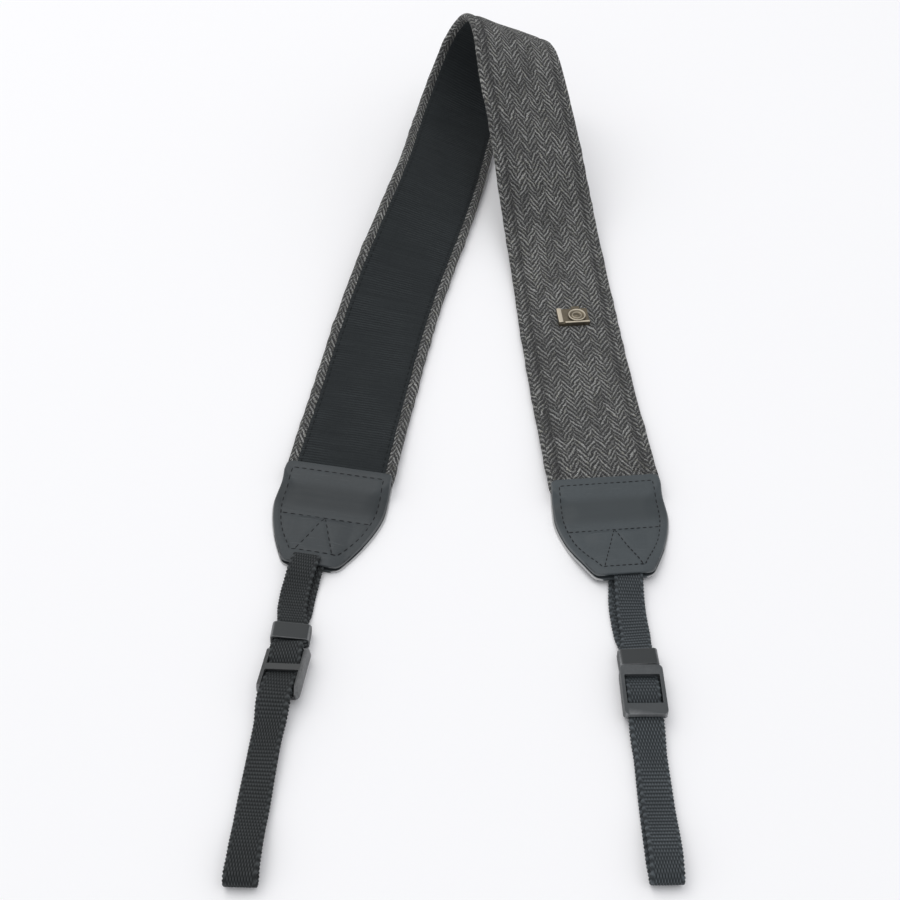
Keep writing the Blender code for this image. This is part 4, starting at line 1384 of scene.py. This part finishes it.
def make_webbing(side):
    place, _ = webbing_space(side)
    length, at = resample(webbing_line(side))
    at = functools.lru_cache(maxsize=None)(at)
    cuts = int(length / RIB * RIB_ROWS)
    mesh = flat_strip(WEBBING_WIDTH, 0, length, WEBBING_THICKNESS, WEBBING_ROUND, 2,
                      BEAD_COLUMNS, cuts)
    note_flat(mesh)
    bead = mesh.verts.layers.float.new("bead")
    for vertex in mesh.verts:
        aside, distance, through = vertex.co
        distance = min(max(round(distance, 6), 0.0), length)
        along, height, slope, shift = at(distance)
        relief = weave_relief(aside, distance, opened_share(side, along))
        vertex[bead] = relief
        share = (abs(aside) / (WEBBING_WIDTH / 2)) ** 4
        wave = math.cos(math.pi * distance / RIB + math.copysign(math.pi / 2, aside))
        spread = ease(2 - 1.6 * abs(along - TAB_LENGTH - SIDES[side]["slider"]) / SLIDER_LENGTH)
        aside *= WEBBING_SHRUNK + SPREAD_IN_SLIDER * spread
        aside += math.copysign(share * RIM_WAVE * wave, aside)
        flatness = min(abs(through) / (0.45 * WEBBING_THICKNESS), 1)
        through += math.copysign(WEAVE_HEIGHT * (relief - 0.6) * flatness, through)
        if along < TAB_LENGTH and distance < length / 2:
            through *= root_pressed(along)
        sine, cosine = math.sin(slope), math.cos(slope)
        vertex.co = place(along - sine * through, aside + shift, height + cosine * through)
    close_piece(mesh, f"{side}_woven_webbing", webbing_cloths[side], f"{side}_webbing")
    print("the", side, "webbing is", round(length / MM), "mm long")


for side in SIDES:
    make_webbing(side)

# %% [markdown]
# Keepers and sliders are moulded plastic, so every edge is rounded and there is no joint line. A
# keeper is a ring cut from a rounded block. A slider is a plate with a window, two boat-shaped
# rails under it and a bar between the rails. Each is one closed mesh: cuts mark where a face is
# opened or drawn out, and a bevel rounds all sharp edges at the end.

# %% Helpers for moulded fittings
EDGE_ROUND = 0.34 * MM
SHARP = 0.6
# How much lighter a slider is painted past its far end or a flank, as highlight with some wear, and
# past its near end, as a fainter painted highlight.
END_WEAR_AND_HIGHLIGHT = 0.6
NEAR_HIGHLIGHT = 0.12
NOWHERE = 1.0


def round_sharp(mesh, offset=EDGE_ROUND):
    """Rounds every edge that still turns sharply."""
    edges = [edge for edge in mesh.edges if edge.is_manifold and edge.calc_face_angle() > SHARP]
    round_edges(mesh, edges, offset, 3, clamp=True)


def cut(mesh, axis, at):
    """Cuts the whole mesh where an axis has one value."""
    normal = [0, 0, 0]
    normal[axis] = 1
    everything = mesh.verts[:] + mesh.edges[:] + mesh.faces[:]
    bmesh.ops.bisect_plane(mesh, geom=everything, dist=0.001 * MM, plane_no=normal,
                           plane_co=[at * value for value in normal])


def join_openings(mesh, faces):
    """Takes faces out and joins the two openings with a wall."""
    bmesh.ops.delete(mesh, geom=faces, context="FACES")
    bmesh.ops.bridge_loops(mesh, edges=[edge for edge in mesh.edges if edge.is_boundary])


def note_wear_and_highlight(mesh, end, flank, near):
    """Stores 1 on rounded edges and 0 on the flats, where wear and painted highlight pale them, and a
    painted highlight past either end and a flank, with some wear at the far end.
    """
    mesh.normal_update()
    wear_and_highlight = mesh.verts.layers.float.new("wear_and_highlight")
    for vertex in mesh.verts:
        flattest = max(abs(value) for value in vertex.normal)
        # Past the far end or the flank the plastic is painted lighter, as highlight with some wear;
        # before the near end it gets a fainter painted highlight.
        rubbed = END_WEAR_AND_HIGHLIGHT if vertex.co.x > end or vertex.co.y > flank else 0.0
        if vertex.co.x < near:
            rubbed = NEAR_HIGHLIGHT
        vertex[wear_and_highlight] = max(ease((0.97 - flattest) * 5), rubbed)


def place_fitting(mesh, side, along, height, skew, end=NOWHERE, flank=NOWHERE, near=-NOWHERE):
    """Lays a fitting on the webbing: X out along it, Y across it, Z off the table."""
    _, axes = webbing_space(side)
    centre, ahead, rolled, above = axes(along)
    note_wear_and_highlight(mesh, end, flank, near)
    turn = Matrix((ahead, rolled, above)).transposed().to_4x4()
    place = Matrix.Translation(centre + above * height) @ turn @ Matrix.Rotation(-skew, 4, "Z")
    bmesh.ops.transform(mesh, matrix=place, verts=mesh.verts)


def close_fitting(mesh, name, material, node):
    """Closes a moulded piece, with its shading weighted towards its flats."""
    print(name, "open edges:", sum(not edge.is_manifold for edge in mesh.edges))
    piece = close_piece(mesh, name, material, node)
    piece.modifiers.new("even", "WEIGHTED_NORMAL").keep_sharp = True


# %% The keepers
KEEPER_CORNER = 1.3 * MM


def make_keeper(side):
    height = 2 * (KEEPER_WALL + CLEARANCE) + 2 * WEBBING_THICKNESS + LAYER_GAP
    mesh = box((KEEPER_LENGTH, KEEPER_WIDTH, height), (0, 0, 0))
    round_edges(mesh, edges_along(mesh, 0), KEEPER_CORNER, 5, clamp=True)
    ends = [face for face in mesh.faces if abs(face.normal.x) > 0.9]
    bmesh.ops.inset_individual(mesh, faces=ends, thickness=KEEPER_WALL, use_even_offset=True)
    join_openings(mesh, ends)
    round_sharp(mesh)
    facts = SIDES[side]
    place_fitting(mesh, side, TAB_LENGTH + facts["keeper"], height / 2, facts["keeper_skew"])
    close_fitting(mesh, f"{side}_moulded_keeper", plastics["keeper"], f"{side}_keeper")


for side in SIDES:
    make_keeper(side)

# %% The sliders
PLATE_CORNER = 1.6 * MM
BOAT_FROM = 0.72
BOAT_RISE = 0.44
LIGHTENED_DEPTH = 0.2 * MM


def make_slider(side):
    """A plate with a window, two rails drawn out under it and a bar bridged between the rails. The
    left slider lies the other way up, so its bar shows."""
    half = SLIDER_LENGTH / 2
    inner = SLIDER_WIDTH / 2 - SLIDER_RAIL
    under = -SLIDER_DEPTH / 2
    bar_at = (SLIDER_TOP_BAR - SLIDER_LOW_BAR) / 2
    window = (SLIDER_TOP_BAR - half, half - SLIDER_LOW_BAR)
    bar = (bar_at - SLIDER_MIDDLE_BAR / 2, bar_at + SLIDER_MIDDLE_BAR / 2)
    mesh = box((SLIDER_LENGTH, SLIDER_WIDTH, SLIDER_PLATE),
               (0, 0, (SLIDER_DEPTH - SLIDER_PLATE) / 2))
    round_edges(mesh, edges_along(mesh, 2), PLATE_CORNER, 4, clamp=True)
    for at in window + bar + (-half * BOAT_FROM, half * BOAT_FROM):
        cut(mesh, 0, at)
    for at in (-inner, inner):
        cut(mesh, 1, at)
    rails = [face for face in mesh.faces
             if face.normal.z < -0.9 and abs(face.calc_center_median().y) > inner]
    grown = bmesh.ops.extrude_face_region(mesh, geom=rails)
    moved = [item for item in grown["geom"] if isinstance(item, bmesh.types.BMVert)]
    bmesh.ops.delete(mesh, geom=[face for face in rails if face.is_valid],
                     context="FACES_KEEP_BOUNDARY")
    for vertex in moved:
        past = max(abs(vertex.co.x) - half * BOAT_FROM, 0) / (half * (1 - BOAT_FROM))
        vertex.co.z = under + past * BOAT_RISE * SLIDER_DEPTH
    openings = [face for face in mesh.faces if abs(face.normal.z) > 0.9
                and abs(face.calc_center_median().y) < inner
                and window[0] < face.calc_center_median().x < window[1]]
    join_openings(mesh, openings)
    cut(mesh, 2, under + SLIDER_BAR_THICKNESS)
    sockets = [face for face in mesh.faces if abs(face.normal.y) > 0.9
               and abs(abs(face.calc_center_median().y) - inner) < 0.01 * MM
               and bar[0] < face.calc_center_median().x < bar[1]
               and face.calc_center_median().z < under + SLIDER_BAR_THICKNESS]
    join_openings(mesh, sockets)
    round_sharp(mesh)
    if side == "left":
        bmesh.ops.rotate(mesh, matrix=Matrix.Rotation(math.pi, 3, "X"), verts=mesh.verts)
    facts = SIDES[side]
    # The left slider is painted lighter on one flank, and the right one past its far end and before
    # its near end: painted highlight, with some wear at the far end.
    lightened_from = {
        "left": (NOWHERE, SLIDER_WIDTH / 2 - LIGHTENED_DEPTH),
        "right": (half - LIGHTENED_DEPTH, NOWHERE, -half * 0.6),
    }[side]
    place_fitting(mesh, side, TAB_LENGTH + facts["slider"], SLIDER_PERCH + SLIDER_DEPTH / 2,
                  facts["slider_skew"], *lightened_from)
    close_fitting(mesh, f"{side}_moulded_slider", plastics[f"{side}_slider"],
                  f"{side}_slider")


for side in SIDES:
    make_slider(side)

# %% [markdown]
# The badge is a small stud in the shape of a plain camera, cast in brass and darkened: a plate with
# a raised foot, a grip bar at its left, a finder hump and a lens of rings. The rings are one outline
# spun round the lens's axis. High rims are rubbed bright, which the attribute "rubbed" keeps.

# %% The badge
BADGE_WIDTH = 12.6 * MM
BADGE_HEIGHT = 9.0 * MM
BADGE_THICKNESS = 1.8 * MM
BADGE_AT = 0.8343
BADGE_ACROSS = 0.044
LENS_OUTLINE = ((0.0, 0.62), (0.7, 0.62), (0.9, 0.35), (1.55, 0.35), (1.7, 0.78), (1.95, 0.78),
                (2.1, 0.35), (2.95, 0.35), (3.1, 0.95), (3.4, 0.95), (3.6, 0.6), (3.6, -0.4),
                (0.0, -0.4))
LENS_AT = (1.5 * MM, -0.4 * MM)
LENS_STEPS = 32
RUBBED_OVER = 0.3 * MM
BADGE_FACE = BADGE_THICKNESS / 2
BADGE_BLOCKS = (
    ("plate", (BADGE_WIDTH, BADGE_HEIGHT, BADGE_THICKNESS), (0, 0, 0), 0.35 * MM, 0.0),
    ("grip", (1.9 * MM, BADGE_HEIGHT * 0.94, 1.1 * MM),
     (0.9 * MM - BADGE_WIDTH / 2, 0, BADGE_FACE + 0.25 * MM), 0.3 * MM, 0.4 * MM),
    ("foot", (BADGE_WIDTH * 0.80, 0.9 * MM, 0.9 * MM),
     (BADGE_WIDTH * 0.10, 0.45 * MM - BADGE_HEIGHT / 2, BADGE_FACE + 0.05 * MM),
     0.25 * MM, 0.15 * MM),
    ("finder", (3.4 * MM, 1.6 * MM, 1.0 * MM),
     (LENS_AT[0], BADGE_HEIGHT / 2 + 0.2 * MM, BADGE_FACE - 0.2 * MM), 0.25 * MM, 0.3 * MM),
)
LENS_RIM = 0.62 * MM


def badge_matrix():
    """On the tweed: X across the band, Y away from the eye, Z out of the cloth."""
    centre, across, facing = band_station(BADGE_AT)
    away = across.cross(-facing)
    if away.y < 0:
        away = -away
    up = across.cross(away)
    seat = BAND_THICKNESS / 2 + CLEARANCE + BADGE_THICKNESS / 2
    turn = Matrix((across, away, up)).transposed().to_4x4()
    return Matrix.Translation(centre + across * BAND_WIDTH * BADGE_ACROSS + up * seat) @ turn


def close_badge_part(mesh, name, above, node=None):
    """Notes which places are rubbed bright, those above a height, then sets a part in its place."""
    rubbed = mesh.verts.layers.float.new("rubbed")
    for vertex in mesh.verts:
        vertex[rubbed] = ease((vertex.co.z - above) / RUBBED_OVER)
    bmesh.ops.transform(mesh, matrix=badge_matrix(), verts=mesh.verts)
    close_fitting(mesh, f"badge_{name}", brass, node)


for name, size, middle, rounding, above in BADGE_BLOCKS:
    part = box(size, middle)
    round_sharp(part, rounding)
    close_badge_part(part, name, BADGE_FACE + above, "badge" if name == "plate" else None)

# %% The badge's lens
lens = bmesh.new()
outline = [lens.verts.new((radius * MM, 0, height * MM)) for radius, height in LENS_OUTLINE]
joins = [lens.edges.new(pair) for pair in zip(outline, outline[1:])]
bmesh.ops.spin(lens, geom=outline + joins, cent=(0, 0, 0), axis=(0, 0, 1),
               angle=2 * math.pi, steps=LENS_STEPS, use_merge=True)
bmesh.ops.remove_doubles(lens, verts=lens.verts, dist=0.001 * MM)
bmesh.ops.recalc_face_normals(lens, faces=lens.faces)
bmesh.ops.translate(lens, vec=LENS_AT + (BADGE_FACE,), verts=lens.verts)
close_badge_part(lens, "lens", BADGE_FACE + LENS_RIM)
